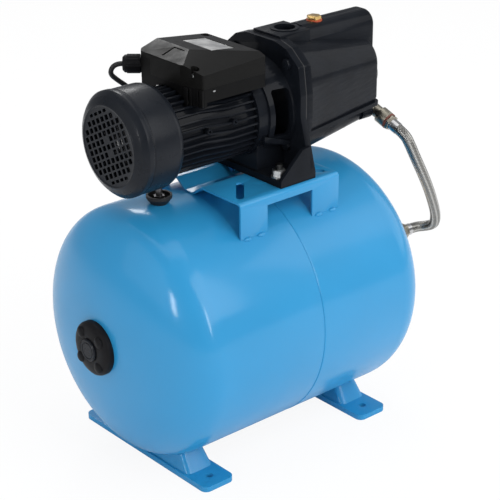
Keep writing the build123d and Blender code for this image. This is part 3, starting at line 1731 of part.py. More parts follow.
# Priming plug on its sealing washer
plug_washer_thick = 2.0
plug_hex_radius = 10.8
plug_hex_high = 5.5
plug_washer_radius = 11.5
plug_seat_z = pad_high + plug_washer_thick

with BuildPart() as priming_plug:
    with BuildSketch(Plane.XY.offset(plug_seat_z)):
        with Locations((plug_x, 0)):
            RegularPolygon(plug_hex_radius, 6)
    extrude(amount=plug_hex_high)
    chamfer(priming_plug.faces().sort_by(Axis.Z)[-1].edges(), length=0.8)
    with BuildSketch(Plane.XY.offset(plug_seat_z)):
        with Locations((plug_x, 0)):
            Circle(plug_thread_radius)
    extrude(amount=-12)
priming_plug.part.label = "priming_plug"
export_step(priming_plug.part, "parts/priming_plug.step")

with BuildPart() as priming_plug_seal:
    with BuildSketch(Plane.XY.offset(pad_high)):
        with Locations((plug_x, 0)):
            Circle(plug_washer_radius)
            Circle(plug_thread_radius, mode=Mode.SUBTRACT)
    extrude(amount=plug_washer_thick)
priming_plug_seal.part.label = "priming_plug_seal"
export_step(priming_plug_seal.part, "parts/priming_plug_seal.step")

with BuildPart() as drain_plug:
    with BuildSketch(Plane.XY.offset(drain_face_z)):
        with Locations((drain_x, 0)):
            RegularPolygon(8, 6)
    extrude(amount=-6)
    with BuildSketch(Plane.XY.offset(drain_face_z)):
        with Locations((drain_x, 0)):
            Circle(drain_thread_radius)
    extrude(amount=9)
drain_plug.part.label = "drain_plug"
export_step(drain_plug.part, "parts/drain_plug.step")


# ---------------------------------------------------------------------------
# Elbow, braided hose and its fittings
# ---------------------------------------------------------------------------

elbow_x = 251.0
elbow_corner = (elbow_x, hose_port_y, hose_port_z - 1)
elbow_out = Vector(0.1, -0.9, -0.41).normalized()      # towards the front and down
elbow_plane = Plane(origin=elbow_corner, z_dir=elbow_out)
elbow_radius = 9.5
elbow_bore = 5.0
elbow_end = 33.0
collar_radius = 12.5
collar_length = 16.0
hose_radius = 8.25
hose_bore = 5.0
nut_radius = 12.5
upper_nut_length = 5.5
lower_nut_length = 13.0
ferrule_radius = 9.2
upper_ferrule_length = 13.0
lower_ferrule_length = 10.0
elbow_gasket_thick = 2.5

with BuildPart() as hose_elbow:
    with BuildSketch(across(hose_port_face_x, elbow_corner[2], hose_port_y)):
        Circle(elbow_radius)
    extrude(amount=elbow_x - hose_port_face_x)
    with BuildSketch(across(hose_port_face_x, hose_port_z, hose_port_y)):
        Circle(hose_port_bore - 0.1)
    extrude(amount=-9)
    with Locations(Location(elbow_corner)):
        Sphere(elbow_radius)
    with BuildSketch(elbow_plane):
        Circle(elbow_radius)
    extrude(amount=elbow_end)
    with BuildSketch(elbow_plane.offset(elbow_end - collar_length)):
        Circle(collar_radius)
    extrude(amount=collar_length)
    with BuildSketch(elbow_plane):
        Circle(elbow_bore)
    extrude(amount=elbow_end, mode=Mode.SUBTRACT)
    with BuildSketch(across(hose_port_face_x - 9, hose_port_z - 1, hose_port_y)):
        Circle(elbow_bore)
    extrude(amount=elbow_x - hose_port_face_x + 9, mode=Mode.SUBTRACT)
hose_elbow.part.label = "hose_elbow"
export_step(hose_elbow.part, "parts/hose_elbow.step")

with BuildPart() as elbow_gasket:
    with BuildSketch(elbow_plane.offset(elbow_end)):
        Circle(collar_radius)
        Circle(elbow_bore, mode=Mode.SUBTRACT)
    extrude(amount=elbow_gasket_thick)
elbow_gasket.part.label = "elbow_gasket"
export_step(elbow_gasket.part, "parts/elbow_gasket.step")


def hose_end(nut_plane, nut_length, ferrule_length):
    """The hex nut and the ferrule of one hose end, stacked from nut_plane on."""
    with BuildPart() as nut:
        with BuildSketch(nut_plane):
            RegularPolygon(nut_radius, 6)
            Circle(elbow_bore, mode=Mode.SUBTRACT)
        extrude(amount=nut_length)
    with BuildPart() as ferrule:
        with BuildSketch(nut_plane.offset(nut_length)):
            Circle(ferrule_radius)
            Circle(elbow_bore, mode=Mode.SUBTRACT)
        extrude(amount=ferrule_length)
    return nut, ferrule


hose_start_plane = elbow_plane.offset(elbow_end + elbow_gasket_thick)
connector_end_x = 341.0
hose_end_plane = across(connector_end_x, tank_axis_z)

upper_hose_nut, upper_ferrule = hose_end(hose_start_plane, upper_nut_length, upper_ferrule_length)
upper_hose_nut.part.label = "upper_hose_nut"
export_step(upper_hose_nut.part, "parts/upper_hose_nut.step")
upper_ferrule.part.label = "upper_ferrule"
export_step(upper_ferrule.part, "parts/upper_ferrule.step")

lower_hose_nut, lower_ferrule = hose_end(hose_end_plane, lower_nut_length, lower_ferrule_length)
lower_hose_nut.part.label = "lower_hose_nut"
export_step(lower_hose_nut.part, "parts/lower_hose_nut.step")
lower_ferrule.part.label = "lower_ferrule"
export_step(lower_ferrule.part, "parts/lower_ferrule.step")

connector_hex_radius = 18.0
connector_pipe_radius = 11.0

with BuildPart() as tank_connector:
    with BuildSketch(across(neck_end_x - 18, tank_axis_z)):
        Circle(neck_bore - 0.1)
    extrude(amount=18)
    with BuildSketch(across(neck_end_x, tank_axis_z)):
        RegularPolygon(connector_hex_radius, 6)
    extrude(amount=10)
    with BuildSketch(across(neck_end_x + 10, tank_axis_z)):
        Circle(connector_pipe_radius)
    extrude(amount=connector_end_x - neck_end_x - 10)
    with BuildSketch(across(neck_end_x - 18, tank_axis_z)):
        Circle(elbow_bore)
    extrude(amount=connector_end_x - neck_end_x + 18, mode=Mode.SUBTRACT)
tank_connector.part.label = "tank_connector"
export_step(tank_connector.part, "parts/tank_connector.step")

hose_start = hose_start_plane.offset(upper_nut_length + upper_ferrule_length).origin
hose_end_x = connector_end_x + lower_nut_length + lower_ferrule_length
hose_route = [
    tuple(hose_start),
    tuple(hose_start + 15 * elbow_out),
    (262, -91, 392),
    (272, -92, 372),
    (288, -89, 348),
    (309, -81, 321),
    (332, -70, 292),
    (353, -58, 266),
    (371, -47, 243),
    (384, -37, 223),
    (391, -27, tank_axis_z + 9.5),
    (390, -11, tank_axis_z + 1.5),
    (379, 0, tank_axis_z),
    (hose_end_x, 0, tank_axis_z),
]
braided_hose = cord_tube(hose_route, hose_radius, hose_bore)
braided_hose.part.label = "braided_hose"
export_step(braided_hose.part, "parts/braided_hose.step")
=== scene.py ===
import json
import math

import bpy
from bpy.props import FloatProperty, FloatVectorProperty, PointerProperty
from mathutils import Matrix, Vector


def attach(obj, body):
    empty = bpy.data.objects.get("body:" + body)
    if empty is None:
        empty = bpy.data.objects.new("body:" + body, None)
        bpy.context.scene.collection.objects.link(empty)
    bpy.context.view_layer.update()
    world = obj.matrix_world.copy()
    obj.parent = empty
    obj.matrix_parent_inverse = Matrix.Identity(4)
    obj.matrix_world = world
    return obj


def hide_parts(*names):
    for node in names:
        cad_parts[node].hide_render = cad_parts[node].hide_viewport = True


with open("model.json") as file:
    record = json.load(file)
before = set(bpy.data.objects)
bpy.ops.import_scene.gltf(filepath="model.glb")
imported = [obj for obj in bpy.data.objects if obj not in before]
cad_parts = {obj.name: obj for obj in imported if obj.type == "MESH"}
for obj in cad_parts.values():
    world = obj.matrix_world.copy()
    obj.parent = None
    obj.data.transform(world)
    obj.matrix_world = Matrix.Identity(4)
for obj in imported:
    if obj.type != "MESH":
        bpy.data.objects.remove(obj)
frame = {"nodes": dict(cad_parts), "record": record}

bl_info = {
    "name": "Booster Pump Dresser",
    "version": (1, 0, 0),
    "blender": (4, 5, 0),
    "location": "View3D > Sidebar > Booster Pump",
    "description": "Dresses a tank-mounted jet pump: enamel, castings, mouldings, hose and lead",
    "category": "Object",
}

BODY = "base"
ALONG = Vector((1, 0, 0))
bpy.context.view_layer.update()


# ---------------------------------------------------------------------------
# Sizes and colours
# ---------------------------------------------------------------------------

def length(name, description, default):
    return FloatProperty(
        name=name, description=description, default=default, unit="LENGTH", precision=4,
    )


def turn_of(name, description, degrees):
    return FloatProperty(
        name=name, description=description, default=math.radians(degrees), unit="ROTATION",
    )


def colour(name, description, default):
    return FloatVectorProperty(
        name=name, description=description, default=default, size=4, subtype="COLOR", min=0, max=1,
    )


class PumpTankSizes(bpy.types.PropertyGroup):
    """Sizes of the lying pressure tank"""

    radius: length("Tank radius", "Outside radius of the tank's barrel", 0.1825)
    axis_height: length("Axis height", "Height of the tank's axis over the floor", 0.1985)
    straight: length("Half straight", "Straight barrel each side of the middle", 0.1663)
    dome: length("Dome depth", "Depth of each domed end", 0.0832)
    seam: length("Seam place", "Where the two shells meet along the tank", 0.0084)
    wall: length("Wall", "Thickness of the tank's sheet", 0.0015)


class PumpMotorSizes(bpy.types.PropertyGroup):
    """Sizes of the motor"""

    axis_height: length("Shaft height", "Height of the shaft over the floor", 0.482)
    fin_radius: length("Fin radius", "Radius over the fins' tips", 0.061)


class PumpCoverSizes(bpy.types.PropertyGroup):
    """Sizes of the fan cover and its grille"""

    front: length("Front", "Place of the grille's face along the shaft", -0.2144)
    rim: length("Rim", "Place of the rim that meets the motor", -0.144)
    wall: length("Wall", "Thickness of the cover", 0.0022)
    disc_radius: length("Disc radius", "Radius of the flat front", 0.0578)
    band_radius: length("Band radius", "Radius of the widest band", 0.0735)
    band_front: length("Band front", "Where the band starts", -0.202)
    band_rear: length("Band rear", "Where the band ends", -0.1945)
    barrel_radius: length("Barrel radius", "Radius behind the band", 0.0726)
    barrel_rear: length("Barrel rear", "Where the barrel starts to draw in", -0.152)
    rim_radius: length("Rim radius", "Radius at the rim", 0.0696)
    row_pitch: length("Row pitch", "Spacing of the grille's rows", 0.00927)
    slot_pitch: length("Slot pitch", "Spacing of the slots in a row", 0.01095)
    slot_wide: length("Slot width", "Width of one slot", 0.0073)
    slot_high: length("Slot height", "Height of one slot", 0.0069)
    slot_corner: length("Slot corner", "Corner radius of one slot", 0.0010)
    grille_turn: turn_of("Grille turn", "Turn of the rows about the shaft", 27.5)


class PumpCordSizes(bpy.types.PropertyGroup):
    """Sizes of the mains lead and the braided hose"""

    lead_diameter: length("Lead diameter", "Outside diameter of the mains lead", 0.007)
    lead_length: length("Lead length", "Real length of the mains lead", 1.58)
    hose_diameter: length("Hose diameter", "Outside diameter over the hose's braid", 0.0165)
    hose_length: length("Hose length", "Length of braid between the two ferrules", 0.314)


class PumpColours(bpy.types.PropertyGroup):
    """Colours of the main finishes"""

    tank_blue: colour(
        "Tank blue", "Enamel of the tank, its feet and the console", (0.024, 0.272, 0.545, 1),
    )
    casting: colour(
        "Casting", "Enamel of the pump body, bracket and motor", (0.0068, 0.0082, 0.0112, 1),
    )
    moulding: colour("Moulding", "Fan cover and end cap", (0.0095, 0.0114, 0.0152, 1))
    box: colour("Terminal box", "Base of the terminal box", (0.0045, 0.0045, 0.0046, 1))
    # The lid's colour is the box's plastic made lighter as painted light on the box's top, and a
    # touch warmer.
    lid: colour("Lid", "Lid of the terminal box", (0.0062, 0.0061, 0.0058, 1))
    floor: colour("Floor", "Studio floor and backdrop", (1.0, 1.0, 1.0, 1))


class PumpStageSizes(bpy.types.PropertyGroup):
    """Camera, lamps and floor"""

    lens: FloatProperty(
        name="Lens", description="Focal length in millimetres", default=116.456, unit="CAMERA",
    )
    camera_at: FloatVectorProperty(
        name="Camera", description="Where the camera stands", default=(-1.3718, -1.6269, 1.2260),
        unit="LENGTH", size=3, precision=4,
    )
    look_at: FloatVectorProperty(
        name="Target", description="What the camera looks at", default=(0.0220, -0.0080, 0.2663),
        unit="LENGTH", size=3, precision=4,
    )
    roll: turn_of("Roll", "Turn of the camera about its line of sight", -0.32)


# ---------------------------------------------------------------------------
# Working helpers
# ---------------------------------------------------------------------------

def nothing_selected():
    """Leaves edit mode and deselects every object."""
    active = bpy.context.view_layer.objects.active
    if active is not None and active.mode != "OBJECT":
        bpy.ops.object.mode_set(mode="OBJECT")
    bpy.ops.object.select_all(action="DESELECT")


def only(piece):
    """Selects the piece alone and makes it the active one."""
    nothing_selected()
    piece.select_set(True)
    bpy.context.view_layer.objects.active = piece


def applied(piece):
    """Moves the piece's place into its mesh and returns it."""
    only(piece)
    bpy.ops.object.transform_apply(location=True, rotation=True, scale=True)
    return piece


def pen_down(name, at):
    """A new mesh of one vertex, in edit mode, ready to be extruded along a path."""
    nothing_selected()
    bpy.ops.mesh.primitive_plane_add(size=0.001, location=at)
    piece = bpy.context.object
    piece.name = name
    piece.data.name = name
    bpy.ops.object.mode_set(mode="EDIT")
    bpy.ops.mesh.select_all(action="SELECT")
    bpy.ops.mesh.merge(type="CENTER")
    return piece


def draw_path(points, closed):
    """Extrudes the single selected vertex from point to point."""
    path = [Vector(point) for point in points]
    if closed:
        path.append(path[0])
    for start, end in zip(path, path[1:]):
        bpy.ops.mesh.extrude_region_move(TRANSFORM_OT_translate={"value": end - start})
    if closed:
        bpy.ops.mesh.select_all(action="SELECT")
        bpy.ops.mesh.remove_doubles(threshold=1e-6)


def lathe(name, outline, height, steps=96, closed=True):
    """A turned piece: (x, radius) points spun about an X axis at that height."""
    points = [(x, 0, height + radius) for x, radius in outline]
    piece = pen_down(name, points[0])
    draw_path(points, closed)
    bpy.ops.mesh.select_all(action="SELECT")
    bpy.ops.mesh.spin(
        steps=steps, angle=math.tau, center=(0, 0, height), axis=ALONG, use_normal_flip=False,
    )
    bpy.ops.mesh.select_all(action="SELECT")
    bpy.ops.mesh.remove_doubles(threshold=1e-6)
    bpy.ops.mesh.select_all(action="SELECT")
    bpy.ops.mesh.normals_make_consistent(inside=False)
    bpy.ops.object.mode_set(mode="OBJECT")
    return applied(piece)


def prism(name, points, depth):
    """A flat closed outline pushed along the vector depth."""
    piece = pen_down(name, points[0])
    draw_path(points, True)
    bpy.ops.mesh.select_all(action="SELECT")
    bpy.ops.mesh.edge_face_add()
    bpy.ops.mesh.extrude_region_move(TRANSFORM_OT_translate={"value": Vector(depth)})
    bpy.ops.mesh.select_all(action="SELECT")
    bpy.ops.mesh.normals_make_consistent(inside=False)
    bpy.ops.object.mode_set(mode="OBJECT")
    return applied(piece)


def with_modifier(piece, kind, **settings):
    """Adds a modifier with its settings and applies it."""
    only(piece)
    modifier = piece.modifiers.new(kind.title(), kind)
    for key, value in settings.items():
        setattr(modifier, key, value)
    bpy.ops.object.modifier_apply(modifier=modifier.name)
    return piece


def bevelled(piece, width, segments=2, angle=35):
    """Rounds the edges that turn by more than the angle, in degrees."""
    return with_modifier(
        piece, "BEVEL", width=width, segments=segments, limit_method="ANGLE",
        angle_limit=math.radians(angle), harden_normals=False, miter_outer="MITER_ARC",
    )


def smooth(piece, angle=35):
    """Shades the piece smooth over edges that turn by less than the angle."""
    only(piece)
    bpy.ops.object.shade_smooth_by_angle(angle=math.radians(angle))
    return piece


def joined(pieces, name):
    """Joins the pieces into the first of them, under the new name."""
    nothing_selected()
    for piece in pieces:
        piece.select_set(True)
    bpy.context.view_layer.objects.active = pieces[0]
    bpy.ops.object.join()
    result = bpy.context.object
    result.name = name
    result.data.name = name
    return result


def copied_to(piece, place):
    """A copy of the piece with its own mesh, moved by place."""
    copy = piece.copy()
    copy.data = piece.data.copy()
    bpy.context.collection.objects.link(copy)
    copy.location = place
    return applied(copy)


def copy_of(node):
    """A welded copy of a CAD node, with its flat faces made whole again."""
    source = frame["nodes"][node]
    nothing_selected()
    piece = source.copy()
    piece.data = source.data.copy()
    piece.parent = None
    piece.matrix_world = Matrix.Identity(4)
    piece.name = node + "_dressed"
    piece.data.name = piece.name
    bpy.context.collection.objects.link(piece)
    only(piece)
    bpy.ops.mesh.customdata_custom_splitnormals_clear()
    bpy.ops.object.mode_set(mode="EDIT")
    bpy.ops.mesh.select_all(action="SELECT")
    bpy.ops.mesh.remove_doubles(threshold=1e-6)
    bpy.ops.mesh.dissolve_limited(angle_limit=math.radians(0.5))
    bpy.ops.object.mode_set(mode="OBJECT")
    return piece


def finished(piece, material, slot, *nodes, body=BODY):
    """Gives the piece its material, its body and the CAD nodes that it stands for."""
    piece.data.materials.clear()
    piece.data.materials.append(material)
    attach(piece, body)
    if nodes:
        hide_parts(*nodes)
    return piece


def dressed_copy(node, material, slot, edge, segments, body=BODY, angle=35):
    """A CAD node with its edges broken, in place of the plain one."""
    piece = bevelled(copy_of(node), edge, segments, angle)
    smooth(piece, angle)
    return finished(piece, material, slot, node, body=body)


# ---------------------------------------------------------------------------
# Materials
# ---------------------------------------------------------------------------

NOISE_DETAIL = 3.0


class Finish:
    """Builds one material from a principled shader and small procedural textures."""

    def __init__(self, name):
        self.material = bpy.data.materials.new(name)
        self.material.use_nodes = True
        self.tree = self.material.node_tree
        self.shader = self.tree.nodes["Principled BSDF"]
        self.coordinates = self.tree.nodes.new("ShaderNodeTexCoord")
        self.last_bump = None

    def node(self, kind, **values):
        made = self.tree.nodes.new(kind)
        for key, value in values.items():
            if key in made.inputs:
                made.inputs[key].default_value = value
            else:
                setattr(made, key, value)
        return made

    def link(self, start, end):
        self.tree.links.new(start, end)

    def base(self, roughness, metallic=0.0, coat=0.0, coat_roughness=0.1, specular=0.5):
        for key, value in (
            ("Roughness", roughness), ("Metallic", metallic), ("Coat Weight", coat),
            ("Coat Roughness", coat_roughness), ("Specular IOR Level", specular),
        ):
            self.shader.inputs[key].default_value = value
        return self

    def maths(self, operation, *values):
        """One sum, fed with sockets or plain numbers."""
        made = self.node("ShaderNodeMath", operation=operation)
        for socket, value in zip(made.inputs, values):
            if isinstance(value, float):
                socket.default_value = value
            else:
                self.link(value, socket)
        return made.outputs[0]

    def parts_of(self, coordinates):
        """The X, Y and Z of the object's own coordinates or of its UV map."""
        split = self.node("ShaderNodeSeparateXYZ")
        self.link(self.coordinates.outputs[coordinates], split.inputs[0])
        return split.outputs

    def noise(self, scale, stretch):
        mapping = self.node("ShaderNodeMapping")
        mapping.inputs["Scale"].default_value = stretch
        self.link(self.coordinates.outputs["Object"], mapping.inputs["Vector"])
        noise = self.node("ShaderNodeTexNoise", Scale=scale, Detail=NOISE_DETAIL)
        self.link(mapping.outputs["Vector"], noise.inputs["Vector"])
        return noise.outputs["Fac"]

    def ramp(self, factor, low, high, start=0.35, end=0.65):
        ramp = self.node("ShaderNodeValToRGB")
        ramp.color_ramp.elements[0].position = start
        ramp.color_ramp.elements[0].color = low
        ramp.color_ramp.elements[1].position = end
        ramp.color_ramp.elements[1].color = high
        self.link(factor, ramp.inputs["Fac"])
        return ramp.outputs["Color"]

    def tint(self, colour, spread, scale, stretch=(1, 1, 1)):
        """The colour, lighter and darker in soft patches."""
        low = [max(0.0, c * (1 - spread)) for c in colour[:3]] + [1]
        high = [min(1.0, c * (1 + spread)) for c in colour[:3]] + [1]
        patches = self.ramp(self.noise(scale, stretch), low, high)
        self.link(patches, self.shader.inputs["Base Color"])
        return self

    def sheen_spread(self, low, high, scale, stretch=(1, 1, 1)):
        """Roughness that varies between low and high."""
        spread = self.node("ShaderNodeMapRange", **{
            "From Min": 0.3, "From Max": 0.7, "To Min": low, "To Max": high,
        })
        self.link(self.noise(scale, stretch), spread.inputs["Value"])
        self.link(spread.outputs["Result"], self.shader.inputs["Roughness"])
        return self

    def relief(self, height, strength, distance):
        """Fine relief from a height, laid over any relief that the finish has already."""
        bump = self.node("ShaderNodeBump", Strength=strength, Distance=distance)
        self.link(height, bump.inputs["Height"])
        if self.last_bump is not None:
            self.link(self.last_bump, bump.inputs["Normal"])
        self.last_bump = bump.outputs["Normal"]
        self.link(self.last_bump, self.shader.inputs["Normal"])
        return self

    def grain(self, scale, strength, distance, stretch=(1, 1, 1)):
        return self.relief(self.noise(scale, stretch), strength, distance)


def gloss_enamel(name, colour):
    """Glossy baked enamel on spun steel, with a slight orange peel."""
    finish = Finish(name).base(0.42, coat=0.50, coat_roughness=0.15, specular=0.16)
    finish.tint(colour, 0.04, 4.0)
    finish.sheen_spread(0.36, 0.50, 9.0)
    finish.grain(240.0, 0.04, 0.0002)
    return finish.material


def cast_enamel(name, colour, grain=0.22, streaks=0.0):
    """Satin enamel over a sand casting, with or without faint streaks along the shaft."""
    finish = Finish(name).base(0.34, coat=0.14, coat_roughness=0.10, specular=0.03)
    finish.tint(colour, 0.16, 30.0)
    finish.sheen_spread(0.28, 0.44, 60.0)
    finish.grain(420.0, grain, 0.0004)
    finish.grain(90.0, 0.75 * grain, 0.0008)
    if streaks:
        finish.grain(110.0, streaks, 0.0030, stretch=(0.06, 1, 1))
    return finish.material


def moulding(name, colour, roughness=0.36, grain=0.05, specular=0.2):
    """Injection moulded plastic with a fine spark texture."""
    finish = Finish(name).base(roughness, specular=specular)
    finish.tint(colour, 0.07, 40.0)
    finish.sheen_spread(roughness - 0.05, roughness + 0.07, 70.0)
    finish.grain(1400.0, grain, 0.0001)
    return finish.material


def metal(name, colour, roughness, spread=0.1, scale=60.0, stretch=(1, 1, 1), grain=0.04):
    """Bare or plated metal."""
    finish = Finish(name).base(roughness, metallic=1.0)
    finish.tint(colour, spread, scale, stretch=stretch)
    finish.sheen_spread(roughness * 0.75, roughness * 1.35, scale * 2, stretch=stretch)
    finish.grain(scale * 8, grain, 0.0001, stretch=stretch)
    return finish.material


def threaded_zinc(name, colour, thread_start, pitch=0.00125):
    """Zinc plate whose threads, above a height, are darker with oil."""
    finish = Finish(name).base(0.34, metallic=1.0)
    height = finish.parts_of("Object")["Z"]
    above = finish.maths("GREATER_THAN", height, thread_start)
    wave = finish.maths("SINE", finish.maths("MULTIPLY", height, math.tau / pitch))
    oiled = [c * 0.14 for c in colour[:3]] + [1]
    shade = finish.ramp(above, colour, oiled, 0.4, 0.6)
    finish.link(shade, finish.shader.inputs["Base Color"])
    finish.sheen_spread(0.26, 0.44, 120.0)
    finish.relief(finish.maths("MULTIPLY", wave, above), 0.8, 0.0005)
    return finish.material


def rubber(name, colour, roughness=0.55):
    """Soft rubber or fibre with a dull, fine grain."""
    finish = Finish(name).base(roughness, specular=0.4)
    finish.tint(colour, 0.15, 60.0)
    finish.sheen_spread(roughness - 0.08, roughness + 0.1, 90.0)
    finish.grain(900.0, 0.08, 0.0001)
    return finish.material


def woven_wire(name, colour, along=96.0, around=14.0, painted_streaks=7):
    """A braid of bright wires: two sets of ribs that cross, with painted highlight streaks round
    the hose, lighter and darker, that stand for reflections along its wires.
    """
    finish = Finish(name).base(0.34, metallic=1.0)
    finish.sheen_spread(0.26, 0.42, 300.0)
    place = finish.parts_of("UV")
    ribs = []
    for lean in (1.0, -1.0):
        lengthwise = finish.maths("MULTIPLY", place["X"], along * math.pi)
        turn = finish.maths("MULTIPLY_ADD", place["Y"], lean * around * math.pi, lengthwise)
        ribs.append(finish.maths("ABSOLUTE", finish.maths("SINE", turn)))
    weave = finish.maths("MULTIPLY", *ribs)
    low = [c * 0.25 for c in colour[:3]] + [1]
    wires = finish.ramp(weave, low, colour, 0.05, 0.75)
    # Painted highlight streaks: lighter and darker stripes round the hose that stand for the
    # wires' reflections along its length.
    band = finish.maths("SINE", finish.maths("MULTIPLY", place["Y"], math.tau * painted_streaks))
    shade = finish.ramp(band, (0.30, 0.30, 0.30, 1), (1, 1, 1, 1), 0.0, 0.9)
    mix = finish.node("ShaderNodeMix", data_type="RGBA", blend_type="MULTIPLY")
    mix.inputs[0].default_value = 0.8
    finish.link(wires, mix.inputs[6])
    finish.link(shade, mix.inputs[7])
    finish.link(mix.outputs[2], finish.shader.inputs["Base Color"])
    finish.relief(weave, 0.35, 0.0004)
    return finish.material


# Height over the floor above which the foot bolts are threaded.
THREAD_START = 0.4182
MATERIALS = {}


def make_materials(colours):
    """Every finish that the pieces use, by a short name."""
    MATERIALS.update({
        "enamel": gloss_enamel("tank_enamel", colours.tank_blue),
        "casting": cast_enamel("cast_enamel", colours.casting),
        "body_casting": cast_enamel("body_cast_enamel", colours.casting, grain=0.18, streaks=0.55),
        "rough_casting": cast_enamel("rough_cast_enamel", colours.casting, grain=0.8),
        "cover": moulding("cover_moulding", colours.moulding, 0.30, specular=0.13),
        "box": moulding("box_moulding", colours.box, specular=0.06),
        # The lid's moulding is lighter than the box's: painted light on the box's top.
        "lid": moulding("lid_moulding", colours.lid, 0.34, grain=0.06, specular=0.075),
        "gland": moulding(
            "gland_moulding", (0.007, 0.007, 0.008, 1), 0.45, grain=0.06, specular=0.10,
        ),
        "fan": moulding("fan_moulding", (0.05, 0.05, 0.052, 1), 0.5),
        "white": moulding(
            "terminal_moulding", (0.7, 0.69, 0.66, 1), 0.45, grain=0.03, specular=0.5,
        ),
        "ceramic": moulding("seal_ceramic", (0.62, 0.6, 0.55, 1), 0.25, grain=0.01, specular=0.5),
        "lead": rubber("lead_rubber", (0.010, 0.010, 0.011, 1)),
        "plug": rubber("plug_rubber", (0.012, 0.012, 0.013, 1), 0.5),
        "membrane": rubber("membrane_rubber", (0.02, 0.02, 0.02, 1), 0.6),
        "washer": rubber("washer_rubber", (0.42, 0.075, 0.03, 1), 0.45),
        "gasket": rubber("gasket_fibre", (0.16, 0.05, 0.035, 1), 0.6),
        "aluminium": metal("cast_aluminium", (0.55, 0.55, 0.56, 1), 0.4),
        "steel": metal("ground_steel", (0.5, 0.5, 0.5, 1), 0.25, stretch=(0.05, 1, 1)),
        "bolt_zinc": threaded_zinc("bolt_zinc", (0.42, 0.43, 0.43, 1), THREAD_START),
        "zinc": metal("zinc_plate", (0.42, 0.43, 0.43, 1), 0.34),
        "lamination": metal("lamination", (0.2, 0.2, 0.21, 1), 0.45, stretch=(20, 1, 1)),
        "copper": metal("winding_copper", (0.55, 0.2, 0.08, 1), 0.35, stretch=(0.1, 1, 1)),
        "dark_zinc": metal("dark_zinc", (0.12, 0.12, 0.125, 1), 0.36),
        "brass": metal("machined_brass", (0.62, 0.42, 0.16, 1), 0.28),
        "nickel": metal("nickel_plate", (0.30, 0.28, 0.23, 1), 0.36),
        "braid": woven_wire("braided_wire", (0.66, 0.65, 0.61, 1)),
        "foil": metal(
            "bare_foil", (0.50, 0.50, 0.49, 1), 0.36, spread=0.06, scale=24.0, grain=0.01,
        ),
    })


# ---------------------------------------------------------------------------
# Lines of the lead and the hose
# ---------------------------------------------------------------------------

LEAD_ROUTE = (
    (-0.12507, 0.08423, 0.557),
    (-0.1334, 0.0915, 0.557),
    (-0.1394, 0.0965, 0.5435),
    (-0.1274, 0.0955, 0.5315),
    (-0.108, 0.092, 0.516),
    (-0.086, 0.094, 0.478),
    (-0.064, 0.112, 0.424),
    (-0.046, 0.127, 0.372),
    (-0.032, 0.150, 0.330),
    (-0.024, 0.180, 0.272),
    (-0.020, 0.196, 0.212),
    (-0.018, 0.200, 0.150),
    (-0.015, 0.201, 0.092),
    (-0.008, 0.204, 0.044),
    (0.008, 0.215, 0.013),
    (0.036, 0.230, 0.0036),
    (0.064, 0.230, 0.0036),
)
LEAD_TAIL = (
    (0.064, 0.310, 0.0105),
    (0.046, 0.312, 0.007),
    (0.026, 0.323, 0.007),
)
COIL_CENTRE = (0.090, 0.270)
COIL_STEPS = 12
# Turns so far, radius and height of the coil where its line changes.
COIL_PLAN = (
    (0.0, 0.0400, 0.0036),
    (0.25, 0.0432, 0.0036),
    (0.95, 0.0432, 0.0036),
    (1.15, 0.0367, 0.0036),
    (1.95, 0.0367, 0.0036),
    (2.15, 0.0367, 0.0106),
    (2.8, 0.0367, 0.0106),
    (3.1, 0.0432, 0.0106),
    (3.5, 0.0415, 0.0106),
)
HOSE_ROUTE = (
    (0.25643, -0.07089, 0.41273),
    (0.25794, -0.08447, 0.40654),
    (0.262, -0.091, 0.392),
    (0.272, -0.092, 0.372),
    (0.288, -0.089, 0.348),
    (0.309, -0.081, 0.321),
    (0.332, -0.070, 0.292),
    (0.353, -0.058, 0.266),
    (0.371, -0.047, 0.243),
    (0.384, -0.037, 0.223),
    (0.391, -0.027, 0.208),
    (0.390, -0.011, 0.200),
    (0.379, 0.0, 0.1985),
    (0.364, 0.0, 0.1985),
)


def coil_points():
    """The put-away turns: two side by side on the floor, then one and a half on top of them."""
    # The spline runs inside its corners, so the corners stand out by this much.
    reach = 1 / math.cos(math.pi / COIL_STEPS)
    points = []
    for step in range(1, int(COIL_PLAN[-1][0] * COIL_STEPS)):
        turn = step / COIL_STEPS
        for (t0, r0, z0), (t1, r1, z1) in zip(COIL_PLAN, COIL_PLAN[1:]):
            if t0 <= turn <= t1:
                share = (turn - t0) / (t1 - t0)
                radius = (r0 + (r1 - r0) * share) * reach
                height = z0 + (z1 - z0) * share
                break
        angle = math.tau * turn - math.pi / 2
        points.append((
            COIL_CENTRE[0] + radius * math.cos(angle),
            COIL_CENTRE[1] + radius * math.sin(angle),
            height,
        ))
    return points


def smooth_line(name, points, diameter, resolution=6):
    """A round cord on one open NURBS spline that the route's corners guide."""
    curve = bpy.data.curves.new(name, "CURVE")
    curve.dimensions = "3D"
    curve.bevel_depth = diameter / 2
    curve.bevel_resolution = 5
    curve.resolution_u = resolution
    curve.use_fill_caps = True
    spline = curve.splines.new("NURBS")
    spline.points.add(len(points) - 1)
    for control, place in zip(spline.points, points):
        control.co = (*place, 1)
    spline.order_u = 3
    spline.use_endpoint_u = True
    piece = bpy.data.objects.new(name, curve)
    bpy.context.collection.objects.link(piece)
    return piece


# ---------------------------------------------------------------------------
# Operators: stage and cords
# ---------------------------------------------------------------------------

SENSOR_WIDTH = 36
VIEW_END = 30
FLOOR_SIZE = 14
FLOOR_WHITE_SHARE = 0.91
AMBIENT_COLOUR = (0.93, 0.95, 1.0, 1)
AMBIENT_STRENGTH = 0.36
MIDDLE = (0, 0, 0.3)
